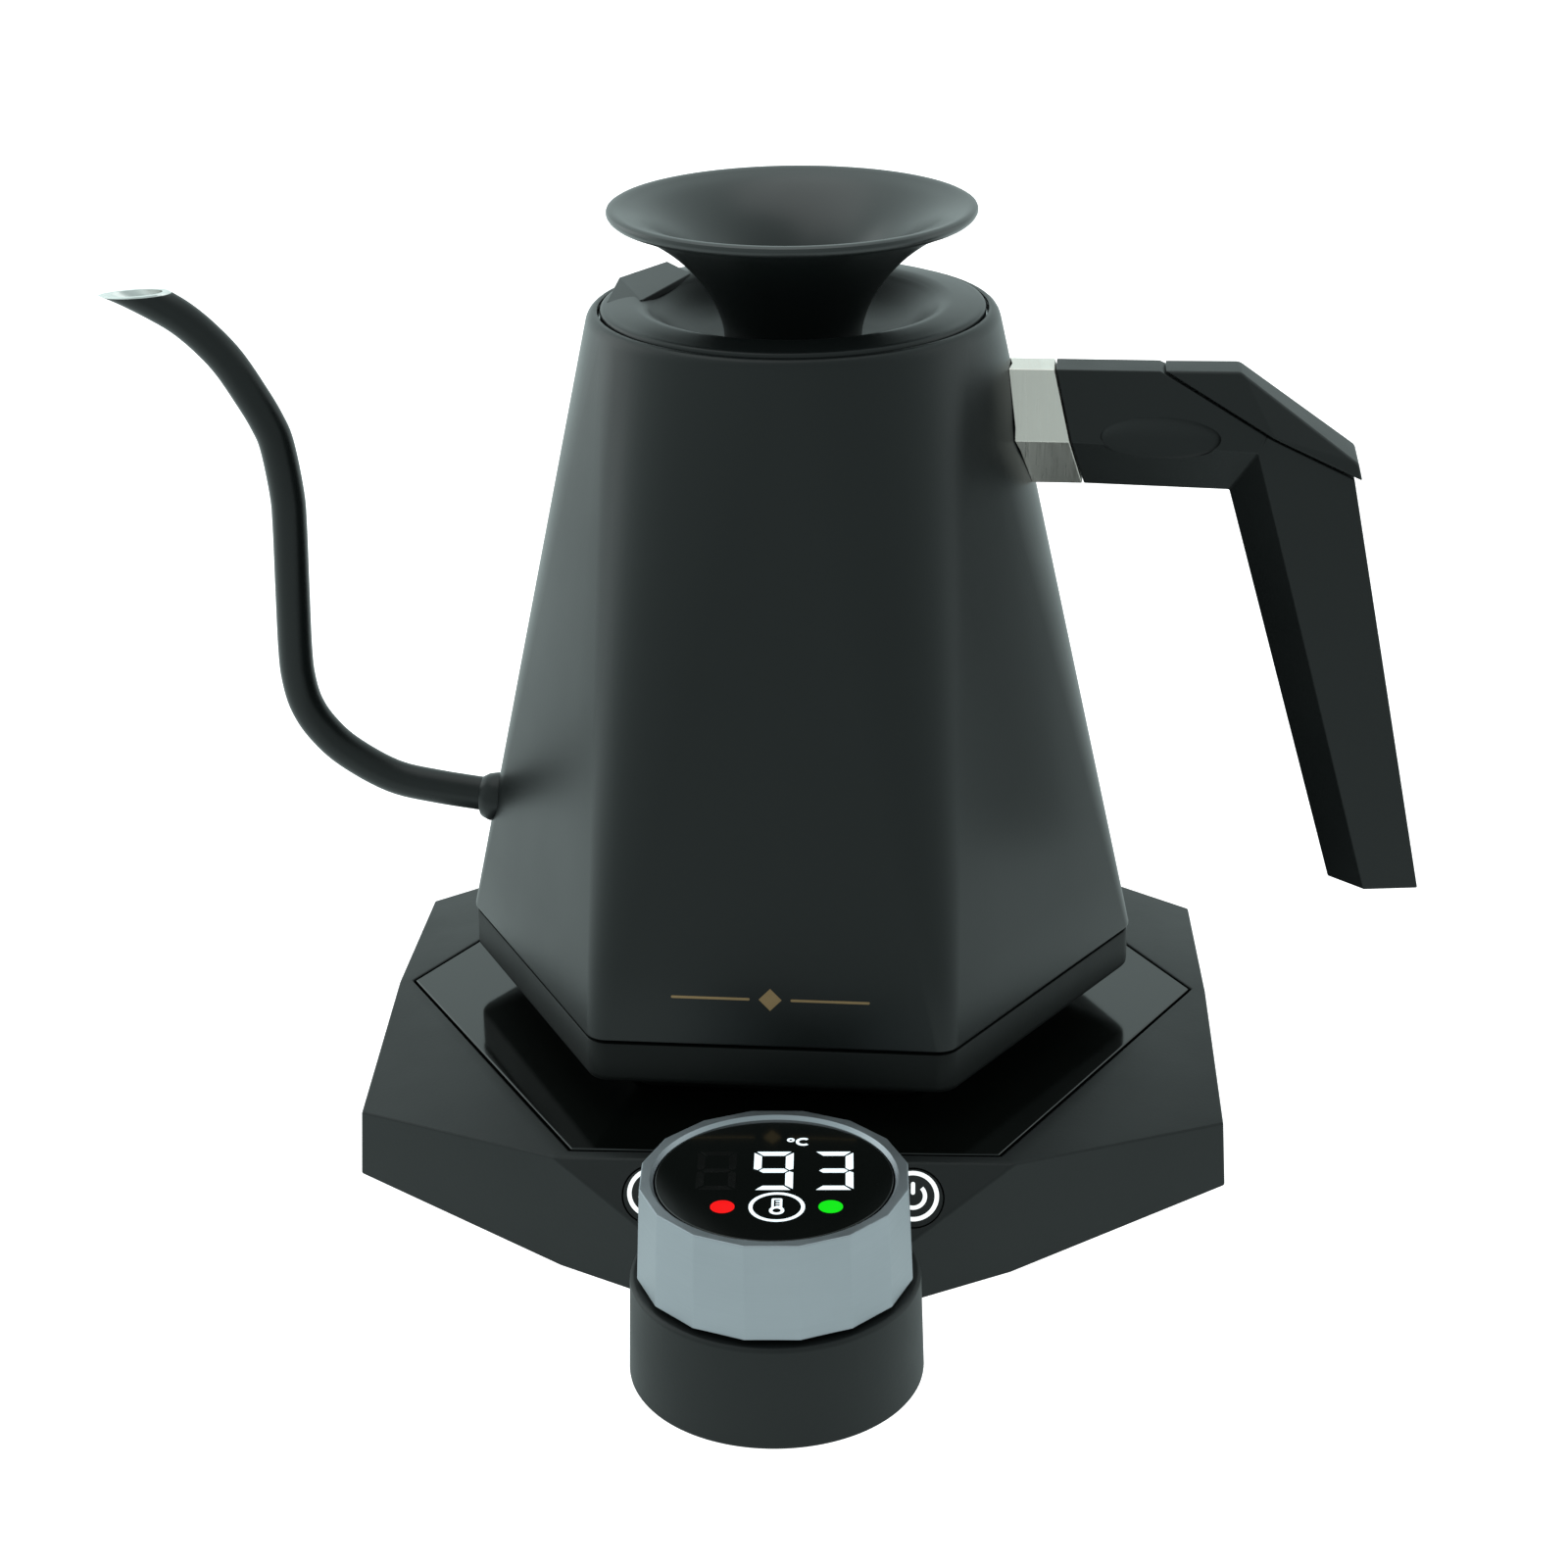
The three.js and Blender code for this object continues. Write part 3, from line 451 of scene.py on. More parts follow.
def combine(bm, tool, operation):
    # joins or cuts two closed shapes and gives the result
    blanks = []
    for shape in (bm, tool):
        mesh = bpy.data.meshes.new("blank")
        shape.to_mesh(mesh)
        shape.free()
        blank = bpy.data.objects.new("blank", mesh)
        scene.collection.objects.link(blank)
        blanks.append(blank)
    change = blanks[0].modifiers.new("combine", "BOOLEAN")
    change.operation = operation
    change.solver = "EXACT"
    change.object = blanks[1]
    shown = blanks[0].evaluated_get(bpy.context.evaluated_depsgraph_get())
    result = bmesh.new()
    result.from_mesh(shown.to_mesh())
    shown.to_mesh_clear()
    for blank in blanks:
        mesh = blank.data
        bpy.data.objects.remove(blank)
        bpy.data.meshes.remove(mesh)
    return result


def cutAway(bm, *tools):
    for tool in tools:
        bm = combine(bm, tool, "DIFFERENCE")
    return bm


def finishPiece(bm, name, place, body, finish, standsFor=(), sharperThan=40, flatFaces=False):
    placed(bm, place)
    for face in bm.faces:
        face.smooth = True
    for edge in bm.edges:
        if len(edge.link_faces) == 2:
            edge.smooth = math.degrees(edge.calc_face_angle()) < sharperThan
    mesh = bpy.data.meshes.new(name)
    bm.to_mesh(mesh)
    bm.free()
    mesh.materials.append(materials[finish])
    piece = bpy.data.objects.new(name, mesh)
    scene.collection.objects.link(piece)
    if flatFaces:
        weighted = piece.modifiers.new("flat faces", "WEIGHTED_NORMAL")
        weighted.keep_sharp = True
        weighted.weight = 100
    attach(piece, body)
    if standsFor:
        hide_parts(*standsFor)
    return piece


def softCopy(node, width, segments=3, sharperThan=18):
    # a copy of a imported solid, back in millimetres, with its edges rounded off
    bm = bmesh.new()
    bm.from_mesh(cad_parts[node].data)
    placed(bm, millimetre.inverted())
    bmesh.ops.remove_doubles(bm, verts=bm.verts, dist=0.001)
    bmesh.ops.dissolve_limit(bm, angle_limit=math.radians(1), verts=bm.verts, edges=bm.edges)
    softenEdges(bm, width, segments, sharperThan)
    return bm


# power base

base = {
    "plateTop": 26.6, "recess": 89.4, "recessFloor": 23.3,
    # (distance from the axis, height) at the corners, and at the middles of the walls
    "cornerTop": (106.9, 21.6), "cornerLow": (107.9, 6.6), "wallTop": (92.5, 26.3),
    "wallLow": (93.7, 0.8),
    "corners": (30, 90, 150, 210, 330),     # the sixth corner is under the front facet
    "foldX": 47.8, "foldY": -80.0, "foldSlope": 42.5,
    "cavity": (101, 20.2),                  # corner distance and ceiling height
    "cavityFront": [(-38, -82.5), (38, -82.5)], "cavityNose": (0, -104.5),
    "pedestal": (29.3, 28.6, 22.2),         # radius low, radius high, height
    "pedestalY": -115.4, "pedestalBore": 24.6, "pedestalEdge": 0.9, "blend": 5.0, "edge": 0.45,
    "collarHole": 16.3, "inletHole": 5.5, "inletAt": (92.5, 60, 11),
}


def polar(radius, degrees, z=0):
    angle = math.radians(degrees)
    return Vector((radius * math.cos(angle), radius * math.sin(angle), z))


def facetHeight(y):
    slope = math.tan(math.radians(base["foldSlope"]))
    return base["wallTop"][1] - (base["foldY"] - y) * slope


def hullOf(points):
    bm = bmesh.new()
    verts = [bm.verts.new(p) for p in points]
    made = bmesh.ops.convex_hull(bm, input=verts)
    bmesh.ops.delete(bm, geom=made["geom_interior"] + made["geom_unused"], context="VERTS")
    bmesh.ops.dissolve_limit(bm, angle_limit=math.radians(0.5), verts=bm.verts, edges=bm.edges)
    faceOutwards(bm)
    return bm


def buildHousing():
    outer = [polar(base["recess"], k * 60, base["plateTop"]) for k in range(6)]
    outer += [polar(base["wallTop"][0], k * 60, base["wallTop"][1]) for k in range(4)]
    outer += [(side * base["foldX"], base["foldY"], base["wallTop"][1]) for side in (-1, 1)]
    outer += [polar(base["cornerTop"][0], a, base["cornerTop"][1]) for a in base["corners"]]
    outer += [polar(base["cornerLow"][0], a, base["cornerLow"][1]) for a in base["corners"]]
    outer += [polar(base["wallLow"][0], k * 60, base["wallLow"][1]) for k in range(6)]
    outer.append((0, -base["cornerLow"][0], base["wallLow"][1]))
    bm = hullOf(outer)
    top = max(bm.faces, key=lambda f: f.calc_center_median().z)
    sunk = bmesh.ops.extrude_face_region(bm, geom=[top])
    moved = [v for v in sunk["geom"] if isinstance(v, bmesh.types.BMVert)]
    bmesh.ops.delete(bm, geom=[top], context="FACES_ONLY")
    depth = base["recessFloor"] - base["plateTop"]
    bmesh.ops.translate(bm, vec=(0, 0, depth), verts=moved)
    faceOutwards(bm)
    softenEdges(bm, base["edge"], 3, 9)
    return bm


def buildCavity():
    radius, ceiling = base["cavity"]
    below = -1
    points = [polar(radius, a, z) for a in base["corners"] for z in (below, ceiling)]
    points += [(x, y, ceiling) for x, y in base["cavityFront"]]
    points.append((*base["cavityNose"], below))
    return hullOf(points)


def buildBlend(side):
    # the hollow curve where a front wall of the base runs into the round pedestal
    overlap = 0.3
    inside = (0.8 * side, -99.2)            # a point well within the base, short of the middle
    wall = base["wallLow"][0] - overlap
    normal = Vector((math.cos(math.radians(60)) * side, -math.sin(math.radians(60))))
    along = Vector((math.sin(math.radians(60)) * side, math.cos(math.radians(60))))
    knobAxis = Vector((0, base["pedestalY"]))
    across = wall + base["blend"] - knobAxis.dot(normal)
    reach = math.sqrt((base["pedestal"][0] + base["blend"]) ** 2 - across ** 2)
    centre = knobAxis + normal * across + along * reach
    onKnob = centre + (knobAxis - centre).normalized() * (base["blend"] + overlap)
    onWall = centre - normal * (base["blend"] + overlap)
    heights = (base["wallLow"][1], base["pedestal"][2])
    bm = hullOf([(p[0], p[1], z) for p in (inside, onWall, centre, onKnob) for z in heights])
    bm = cutAway(bm, newBar(64, base["blend"], -1, 40, x=centre.x, y=centre.y))
    slope = math.radians(base["foldSlope"])
    bmesh.ops.bisect_plane(
        bm, geom=bm.verts[:] + bm.edges[:] + bm.faces[:], clear_outer=True,
        plane_co=(0, base["foldY"], base["wallTop"][1] - 0.4),
        plane_no=(0, -math.sin(slope), math.cos(slope)),
    )
    bmesh.ops.holes_fill(bm, edges=bm.edges, sides=0)
    faceOutwards(bm)
    return bm


keys = {
    "x": 26.7, "y": -85.6, "radius": 6.2, "gap": 0.3, "thickness": 2.2, "stem": 1.8, "edge": 0.2,
    "markRing": (4.45, 5.35), "markUp": 0.4,
}


def facetPlace(x, y):
    # stands a shape square on the front facet
    tilt = turnBy(base["foldSlope"], "X")
    return Matrix.Translation((x, y, facetHeight(y))) @ tilt


housing = buildHousing()
lowRadius, highRadius, pedestalTop = base["pedestal"]
pedestal = newBar(128, lowRadius, 0.1, pedestalTop, topRadius=highRadius, y=base["pedestalY"])
softenEdges(pedestal, base["pedestalEdge"], 4, 60)
housing = combine(housing, pedestal, "UNION")
housing = combine(housing, combine(buildBlend(-1), buildBlend(1), "UNION"), "UNION")
bore = newBar(96, base["pedestalBore"], -1, pedestalTop + 1, y=base["pedestalY"])
housing = cutAway(housing, buildCavity(), bore, newBar(96, base["collarHole"], 18, 30))
for side in (-1, 1):
    hole = newBar(48, keys["radius"] + keys["gap"], -12, 3)
    housing = cutAway(housing, placed(hole, facetPlace(side * keys["x"], keys["y"])))
inletTurn = turnBy(60, "Z") @ turnBy(90, "Y")
inletPlace = Matrix.Translation(polar(*base["inletAt"])) @ inletTurn
housing = cutAway(housing, placed(newBar(32, base["inletHole"], -12, 12), inletPlace))
finishPiece(housing, "baseHousing", basePlace, "base", "basePlastic", ["base_housing"], 30, True)

plateShape = {"corner": 88.7, "low": 23.6, "hole": 19.7, "edge": 0.35}


def onRim(edge):
    # the long straight edges round the top of the plate
    return max(v.co.z for v in edge.verts) > base["plateTop"] - 0.6 and edge.calc_length() > 20


plate = newBar(6, plateShape["corner"], plateShape["low"], base["plateTop"])
plate = cutAway(plate, newBar(96, plateShape["hole"], 20, 30))
softenEdges(plate, plateShape["edge"], 3, 60, onRim)
finishPiece(plate, "glossPlate", basePlace, "base", "plateGloss", ["gloss_plate"], 30, True)
print("power base")


# kettle body: a rounded hexagon that becomes a circle at the mouth

shell = {
    "low": 44.8, "high": 185.8, "radius": (74.5, 43.1), "corner": (5.5, 42.9),
    "arcSteps": 14, "flatSteps": 4,         # points round one corner and along one side
}
cos30 = math.cos(math.radians(30))


def cornerAt(z):
    # distance from the axis to a corner of the shell, and the corner's rounding, at a height
    rise = (z - shell["low"]) / (shell["high"] - shell["low"])
    (low, high), (lowFillet, highFillet) = shell["radius"], shell["corner"]
    return low + (high - low) * rise, lowFillet + (highFillet - lowFillet) * rise


def sideDistance(radius, fillet):
    # from the axis to the flat sides of a hexagon with rounded corners
    return (radius + fillet * (1 / cos30 - 1)) * cos30


def hexagonise(bm, shape):
    # moves each turned vertex onto a rounded hexagon; shape gives the corner's distance from
    # the axis, its rounding and an inset
    perSide = shell["arcSteps"] + shell["flatSteps"]
    for vert in bm.verts:
        length = vert.co.xy.length
        if length < 0.01:
            continue
        angle = math.degrees(math.atan2(vert.co.y, vert.co.x)) % 360
        index = round(angle / (60 / perSide)) % (6 * perSide)
        side, step = divmod(index, perSide)
        radius, fillet, inset = shape(length, vert.co.z)
        centre = (sideDistance(radius, fillet) - fillet) / cos30

        def onArc(side, share):
            turn = side * 60 + (share - 0.5) * 60
            return polar(centre, side * 60) + polar(fillet - inset, turn)

        if step <= shell["arcSteps"]:
            spot = onArc(side, step / shell["arcSteps"])
        else:
            share = (step - shell["arcSteps"]) / shell["flatSteps"]
            spot = onArc(side, 1).lerp(onArc(side + 1, 0), share)
        vert.co.x, vert.co.y = spot.x, spot.y


def shellShape(nominal, z):
    return *cornerAt(z), 100 - nominal      # the shell's profile is drawn 100 from the axis


def hexagonSpin(profile, shape, closed=True):
    bm = bmesh.new()
    spinProfile(bm, profile, 6 * (shell["arcSteps"] + shell["flatSteps"]), closed=closed)
    hexagonise(bm, shape)
    faceOutwards(bm)
    return bm


# (inset, height) down the outside, round the rolled mouth and back up the inside
shellOutside = [(0.5, 44.8), (0.12, 44.95), (0, 45.4), (0, 60), (0, 85), (0, 110), (0, 135),
                (0, 160)]
shellMouth = [(0, 183.4), (0.12, 184.3), (0.45, 185.1), (0.95, 185.6), (1.55, 185.8),
              (2.0, 185.6), (2.2, 185.1), (2.1, 184.4), (1.7, 183.4)]
shellInside = [(1.2, 182), (1.2, 160), (1.2, 110), (1.2, 60), (1.2, 44.8)]
shellProfile = [(100 - inset, z) for inset, z in shellOutside + shellMouth + shellInside]
shellMesh = hexagonSpin(shellProfile, shellShape)
spoutHole = {"radius": 4.2, "at": (-66, 0, 71.8)}
sideways = Matrix.Translation(spoutHole["at"]) @ turnBy(90, "Y")
shellMesh = cutAway(shellMesh, placed(newBar(32, spoutHole["radius"], -10, 10), sideways))
finishPiece(shellMesh, "kettleShell", kettlePlace, "kettle", "bodyPaint", ["kettle_shell"], 50)

skirtProfile = [
    (20.4, 26.9), (57.3, 26.9), (58.3, 27.5), (59, 28.6), (66, 31.9), (73.0, 35.1), (73.5, 35.7),
    (73.6, 36.4), (73.6, 43.5), (73.4, 43.9), (73.0, 44), (71.2, 44), (71.2, 47.6), (69, 47.6),
    (69, 36.9), (55.8, 29.6), (20.4, 29.6),
]


def skirtShape(nominal, z):
    # a hexagon outside, a circle round the connector
    return (nominal + 0.5, 5.5, 0) if nominal > 30 else (nominal, nominal - 0.1, 0)


skirtMesh = hexagonSpin(skirtProfile, skirtShape)
# the skirt takes the darker copy of the base plastic, painted shade
finishPiece(skirtMesh, "kettleSkirt", kettlePlace, "kettle", "skirtPlasticShaded", ["kettle_skirt"], 40)
print("kettle body")


# round pieces, each a profile of (radius, height)

def ringProfile(inner, outer, low, high):
    return [(inner, low), (outer, low), (outer, high), (inner, high)]


def lidCurve(points, perSpan=5):
    return [(p.x, p.y) for p in smoothLine(points, perSpan)]


lidTop = [(40.5, 184.5), (40.5, 185.8), (40.2, 186.25), (39.7, 186.45)]
lidTop += lidCurve([(39.0, 186.55), (36.5, 186.95), (34.2, 187.2), (33, 187.2), (31.8, 186.9),
                    (30.6, 186.3)])
lidTop += lidCurve([(30.0, 185.8), (28.4, 184.6), (25, 181.8), (20.5, 179.6), (15.5, 178.7),
                    (12, 178.6)])
lidUnder = [(0, 176.8), (16, 176.8), (22, 178.2), (27, 181.6), (31, 184.2), (34, 184.5)]
flareOutside = lidCurve([(14.4, 178.9), (14.8, 182), (16.2, 186.3), (18.5, 190.4), (21.6, 194.3),
                         (25.7, 198.2), (31, 201.9), (35.6, 204), (37.6, 204.8)])
flareLip = [(38.2, 205.3), (38.55, 205.9), (38.6, 206.4), (38.4, 206.85), (37.9, 207.15),
            (37.3, 207.2)]
flareInside = lidCurve([(36.5, 207.1), (31.5, 205.3), (26.6, 202.3), (22, 198.4), (17.9, 193.6),
                        (14.6, 188), (12.4, 184.6), (10.5, 183.3), (7, 183), (0, 183)])

# A profile that starts and ends on the axis is open; a ring's profile is closed. "soft" is the
# width of its rounded edges.
roundPieces = {
    "lidDisc": {
        "body": "lid", "finish": "bodyPaint", "node": "lid_disc",
        "profile": lidUnder + lidTop + [(0, 178.6)],
    },
    "lidFlare": {
        "body": "lid", "finish": "flarePaintLitCopy", "node": "lid_flare",
        "profile": [(0, 178.9)] + flareOutside + flareLip + flareInside,
    },
    "lidLiner": {
        "body": "lid", "finish": "blackPlastic", "node": "lid_liner", "soft": 0.3,
        "profile": [(0, 172), (38, 172), (38.6, 172.6), (38.6, 184.1), (36.8, 184.1), (36.8, 173.6),
                    (0, 173.6)],
    },
    "lidSeal": {
        "body": "lid", "finish": "sealSilicone", "node": "lid_seal", "ring": True,
        "profile": [(38.9, 179), (39.3, 179), (39.6, 179.6), (39.2, 180.3), (39.6, 181),
                    (39.3, 182), (38.9, 182)],
    },
    "neckRing": {
        "body": "kettle", "finish": "plainSteel", "node": "neck_ring", "ring": True, "soft": 0.3,
        "profile": ringProfile(39.9, 41.4, 178, 184.1),
    },
    "turningCollar": {
        "body": "swivel", "finish": "blackPlastic", "node": "turning_collar", "ring": True,
        "profile": ringProfile(16.3, 19.4, 23.9, 26.6), "soft": 0.4,
    },
    "baseConnector": {
        "body": "base", "finish": "blackPlastic", "node": "base_connector", "soft": 0.35,
        "profile": [(0, 8), (16, 8), (16, 33), (12.1, 33), (12.1, 27), (9.5, 27), (9.5, 33),
                    (6.6, 33), (6.6, 27), (4, 27), (4, 33), (2, 33), (2, 25), (0, 25)],
    },
    "innerContact": {
        "body": "base", "finish": "contactCopper", "node": "contact_ring_inner", "ring": True,
        "profile": ringProfile(4.3, 4.9, 27.3, 32), "soft": 0.1,
    },
    "outerContact": {
        "body": "base", "finish": "contactCopper", "node": "contact_ring_outer", "ring": True,
        "profile": ringProfile(9.8, 10.4, 27.3, 32), "soft": 0.1,
    },
    "kettleSocket": {
        "body": "kettle", "finish": "blackPlastic", "node": "kettle_socket", "soft": 0.25,
        "profile": [(0, 34), (5.4, 34), (5.4, 28), (6.1, 28), (6.1, 34), (10.9, 34), (10.9, 28),
                    (11.6, 28), (11.6, 34), (16.6, 34), (16.6, 26.9), (20, 26.9), (20, 38),
                    (0, 38)],
    },
}
for name, piece in roundPieces.items():
    bm = bmesh.new()
    spinProfile(bm, piece["profile"], 128, closed=piece.get("ring", False))
    if "soft" in piece:
        softenEdges(bm, piece["soft"], 2, 50)
    place = basePlace if piece["body"] in ("base", "swivel") else kettlePlace
    finishPiece(bm, name, place, piece["body"], piece["finish"], [piece["node"]], 35)

foot = {"count": 7, "profile": [(0, 0), (5.6, 0), (6.4, 0.25), (7, 0.9), (7, 1.8), (0, 1.8)]}
for number in range(1, foot["count"] + 1):
    node = f"foot_{number}"
    at = middleOf(node) * 1000
    bm = bmesh.new()
    spinProfile(bm, foot["profile"], 48, x=at.x, y=at.y, closed=False)
    finishPiece(bm, f"foot{number}", millimetre, "base", "footRubber", [node], 45)
print("round pieces")


# spout: a thin tube swept along its path, cut level at the tip

spout = {
    "path": [(-64, 71.1), (-69, 71.8), (-82, 73.6), (-92, 75.9), (-101.8, 81.6), (-107.4, 87.2),
             (-110.6, 92.8), (-112, 99), (-112.3, 106), (-111.9, 120), (-111.4, 135),
             (-111.5, 142.5), (-112.9, 153.2), (-114.7, 158.4), (-117.5, 163.8), (-122.1, 171.4),
             (-126.8, 176.8), (-131.6, 181), (-136.5, 184), (-142.7, 187.2), (-148, 189.4),
             (-154, 191.5)],
    "radius": 3.8, "wall": 0.75, "cutAt": (-142, 0, 186.4), "cutTilt": 3.7, "sides": 40,
    "tipBare": 0.35,                        # height of the bare metal at the cut
    "liningPoints": 42,                     # how much of the path's end the lining follows
    "liningOverlap": 0.02, "liningWall": 0.12, "liningDrop": 0.1,
}


def sweepTube(path, radius, sides):
    bm = bmesh.new()
    loops = []
    for index, point in enumerate(path):
        ahead = path[min(index + 1, len(path) - 1)] - path[max(index - 1, 0)]
        facing = ahead.to_track_quat("Z", "Y").to_matrix().to_4x4()
        ring = bmesh.ops.create_circle(
            bm, segments=sides, radius=radius, matrix=Matrix.Translation(point) @ facing,
        )
        edges = {e for v in ring["verts"] for e in v.link_edges}
        loops.append(list(edges))
    for first, last in zip(loops, loops[1:]):
        bmesh.ops.bridge_loops(bm, edges=first + last)
    for loop in (loops[0], loops[-1]):
        bmesh.ops.contextual_create(bm, geom=loop)
    faceOutwards(bm)
    return bm


def tipCut(bm, lift, keepAbove=False):
    x, y, z = spout["cutAt"]
    tilt = math.radians(spout["cutTilt"])
    bmesh.ops.bisect_plane(
        bm, geom=bm.verts[:] + bm.edges[:] + bm.faces[:], plane_co=(x, y, z + lift),
        plane_no=(-math.sin(tilt), 0, math.cos(tilt)), clear_outer=not keepAbove,
        clear_inner=keepAbove,
    )
    bmesh.ops.holes_fill(bm, edges=[e for e in bm.edges if e.is_boundary], sides=0)
    faceOutwards(bm)
    return bm


spoutPath = smoothLine([(x, 0, z) for x, z in spout["path"]], 6)
boreRadius = spout["radius"] - spout["wall"]
outerTube = tipCut(sweepTube(spoutPath, spout["radius"], spout["sides"]), -spout["tipBare"])
innerPath = [spoutPath[0] + (spoutPath[0] - spoutPath[1]) * 0.5] + spoutPath
outerTube = cutAway(outerTube, sweepTube(innerPath, boreRadius, spout["sides"]))
finishPiece(outerTube, "spoutTube", kettlePlace, "kettle", "bodyPaint", ["spout_tube"], 45)

# bare metal shows on the cut edge and lines the tip, in a brighter copy of the bare steel that
# paints a glint there
tipPath = spoutPath[-spout["liningPoints"]:]
cutEdge = tipCut(sweepTube(tipPath, spout["radius"], spout["sides"]), 0)
cutEdge = tipCut(cutEdge, -spout["tipBare"], True)
cutEdge = cutAway(cutEdge, sweepTube(tipPath, boreRadius, spout["sides"]))
finishPiece(cutEdge, "spoutEdge", kettlePlace, "kettle", "tipSteelGlint", [], 45)
lining = sweepTube(tipPath, boreRadius + spout["liningOverlap"], spout["sides"])
lining = tipCut(lining, -spout["liningDrop"])
lining = cutAway(lining, sweepTube(tipPath, boreRadius - spout["liningWall"], spout["sides"]))
finishPiece(lining, "spoutLining", kettlePlace, "kettle", "tipSteelGlint", [], 45)

weld = {
    "at": (-66.6, 0, 71.4),
    "profile": [(4.2, 0), (4.9, 0.0), (5.5, 0.5), (5.6, 1.4), (5.3, 3.4), (4.6, 4.8), (4.2, 5.2)],
}
weldMesh = bmesh.new()
spinProfile(weldMesh, weld["profile"], 64)
outward = Matrix.Translation(weld["at"]) @ turnBy(-90, "Y")
placed(weldMesh, outward)
finishPiece(weldMesh, "spoutWeld", kettlePlace, "kettle", "bodyPaint", ["spout_collar"], 35)
print("spout")


# handle

handle = {
    "ferruleEdge": 0.5, "gripEdge": 0.9, "capEdge": 0.6,
    "scoopAt": (77.4, 161.4), "scoopSize": (12.5, 2.6, 5.2), "scoopSide": 10.3,
}
ferrule = softCopy("handle_ferrule", handle["ferruleEdge"], 3, 25)
ferruleNode = ["handle_ferrule"]
finishPiece(ferrule, "handleFerrule", millimetre, "kettle", "brushedSteel", ferruleNode, 40, True)
grip = softCopy("handle_grip", handle["gripEdge"], 4, 14)
for side in (-1, 1):
    scoop = bmesh.new()
    bmesh.ops.create_uvsphere(scoop, u_segments=64, v_segments=32, radius=1)
    x, z = handle["scoopAt"]
    at = Matrix.Translation((x, side * handle["scoopSide"], z))
    size = Matrix.Diagonal((*handle["scoopSize"], 1))
    grip = cutAway(grip, placed(scoop, millimetre.inverted() @ kettlePlace @ at @ size))
bmesh.ops.holes_fill(grip, edges=[e for e in grip.edges if e.is_boundary], sides=0)
finishPiece(grip, "handleGrip", millimetre, "kettle", "gripPlastic", ["handle_grip"], 25, True)
cap = softCopy("handle_cap", handle["capEdge"], 4, 14)
finishPiece(cap, "handleCap", millimetre, "kettle", "gripPlastic", ["handle_cap"], 40, True)

# the wedge over the vent, sunk into the lid; its corners are (radius, degrees, height)
hood = {
    "corners": [(40.2, 163, 188.3), (40.2, 138.5, 188.3), (31.8, 139.5, 187.2), (31.7, 185, 187.1),
                (39.2, 184, 186.6)],
    "low": 185.7, "edge": 0.2,
}
hoodMesh = hullOf([
    polar(radius, degrees, z)
    for radius, degrees, top in hood["corners"] for z in (top, hood["low"])
])
softenEdges(hoodMesh, hood["edge"], 3, 5)
finishPiece(hoodMesh, "ventHood", kettlePlace, "lid", "bodyPaint", ["vent_hood"], 40, True)
print("handle and vent")


# knob and display

knob = {
    "sides": 16, "low": (27.4, 23.2), "high": (26.5, 43.3),     # (radius, height)
    "bore": 23.5, "mouth": 24.2, "boreEdge": 0.75, "edge": 0.3,
}


def buildKnob():
    corner = 360 / knob["sides"] / 2 + layout["knobTurn"]
    (lowRadius, low), (radius, high) = knob["low"], knob["high"]
    bm = newBar(knob["sides"], lowRadius, low, high, topRadius=radius, corner=corner)
    softenEdges(bm, knob["edge"], 2, 10)
    edgeLow = high - knob["boreEdge"]
    mouth = newBar(128, knob["bore"], edgeLow, high + 0.01, topRadius=knob["mouth"])
    return cutAway(bm, newBar(128, knob["bore"], low - 1, high + 1), mouth)


finishPiece(buildKnob(), "knobRing", knobPlace, "knob", "knobMetal", ["knob_ring"], 25, True)

display = {
    "glass": 23.2, "glassLow": 41.8, "surface": 42.75, "glassEdge": 0.25,
    "lift": 0.05, "turn": 1.7,              # lift is the height of everything printed or lit
    "halfHigh": 7.3, "halfWide": 3.85, "bar": 1.5, "gap": 0.32,
    "digits": [(-11.3, 2.9, "abcdefg", "unlitGrey"), (-0.2, 2.9, "abcdfg", "litWhite"),
               (11.5, 2.9, "abcdg", "litWhite")],
    "rings": [(3.0, 14.9, 0.35, 0.75), (0.7, -10.8, 4.65, 5.4), (0.7, -12.1, 0.8, 1.45)],
    "unit": (5.5, 14.2, 0.9, 1.5, 260, 50),
    "tube": [(-0.1, -9.6, 3.6, 90), (1.5, -9.6, 3.6, 90), (0.7, -7.9, 1.8, 0)],
    "levels": (-8.8, -9.7, -10.6),
    "lamps": [("redLamp", -9.7, "litRed"), ("greenLamp", 11.0, "litGreen")], "lampY": -10.7,
    "lampRadius": 2.35,
}
displayGlass = newBar(128, display["glass"], display["glassLow"], display["surface"])
softenEdges(displayGlass, display["glassEdge"], 3, 60)
glassNode = ["display_window"]
finishPiece(displayGlass, "displayGlass", knobPlace, "display", "plateGloss", glassNode, 40)


def flatShape(bm, x, y, outline, turn=0):
    # a thin plate with the outline given, lying on a surface
    turned = turnBy(turn, "Z")
    where = Matrix.Translation((x, y, -display["lift"] / 2)) @ turned
    below = bm.faces.new([bm.verts.new(where @ Vector((*point, 0))) for point in outline])
    above = bmesh.ops.extrude_face_region(bm, geom=[below], use_keep_orig=True)
    raised = [v for v in above["geom"] if isinstance(v, bmesh.types.BMVert)]
    bmesh.ops.translate(bm, vec=(0, 0, display["lift"]), verts=raised)
    faceOutwards(bm)


def flatBar(bm, x, y, length, width, turn=0):
    # a bar with rounded ends
    outline = []
    radius = width / 2
    for side in (-1, 1):
        for k in range(9):
            angle = math.radians(side * 90 + 180 + k * 22.5)
            reach = side * (length - width) / 2 + radius * math.cos(angle)
            outline.append((reach, radius * math.sin(angle)))
    flatShape(bm, x, y, outline, turn)


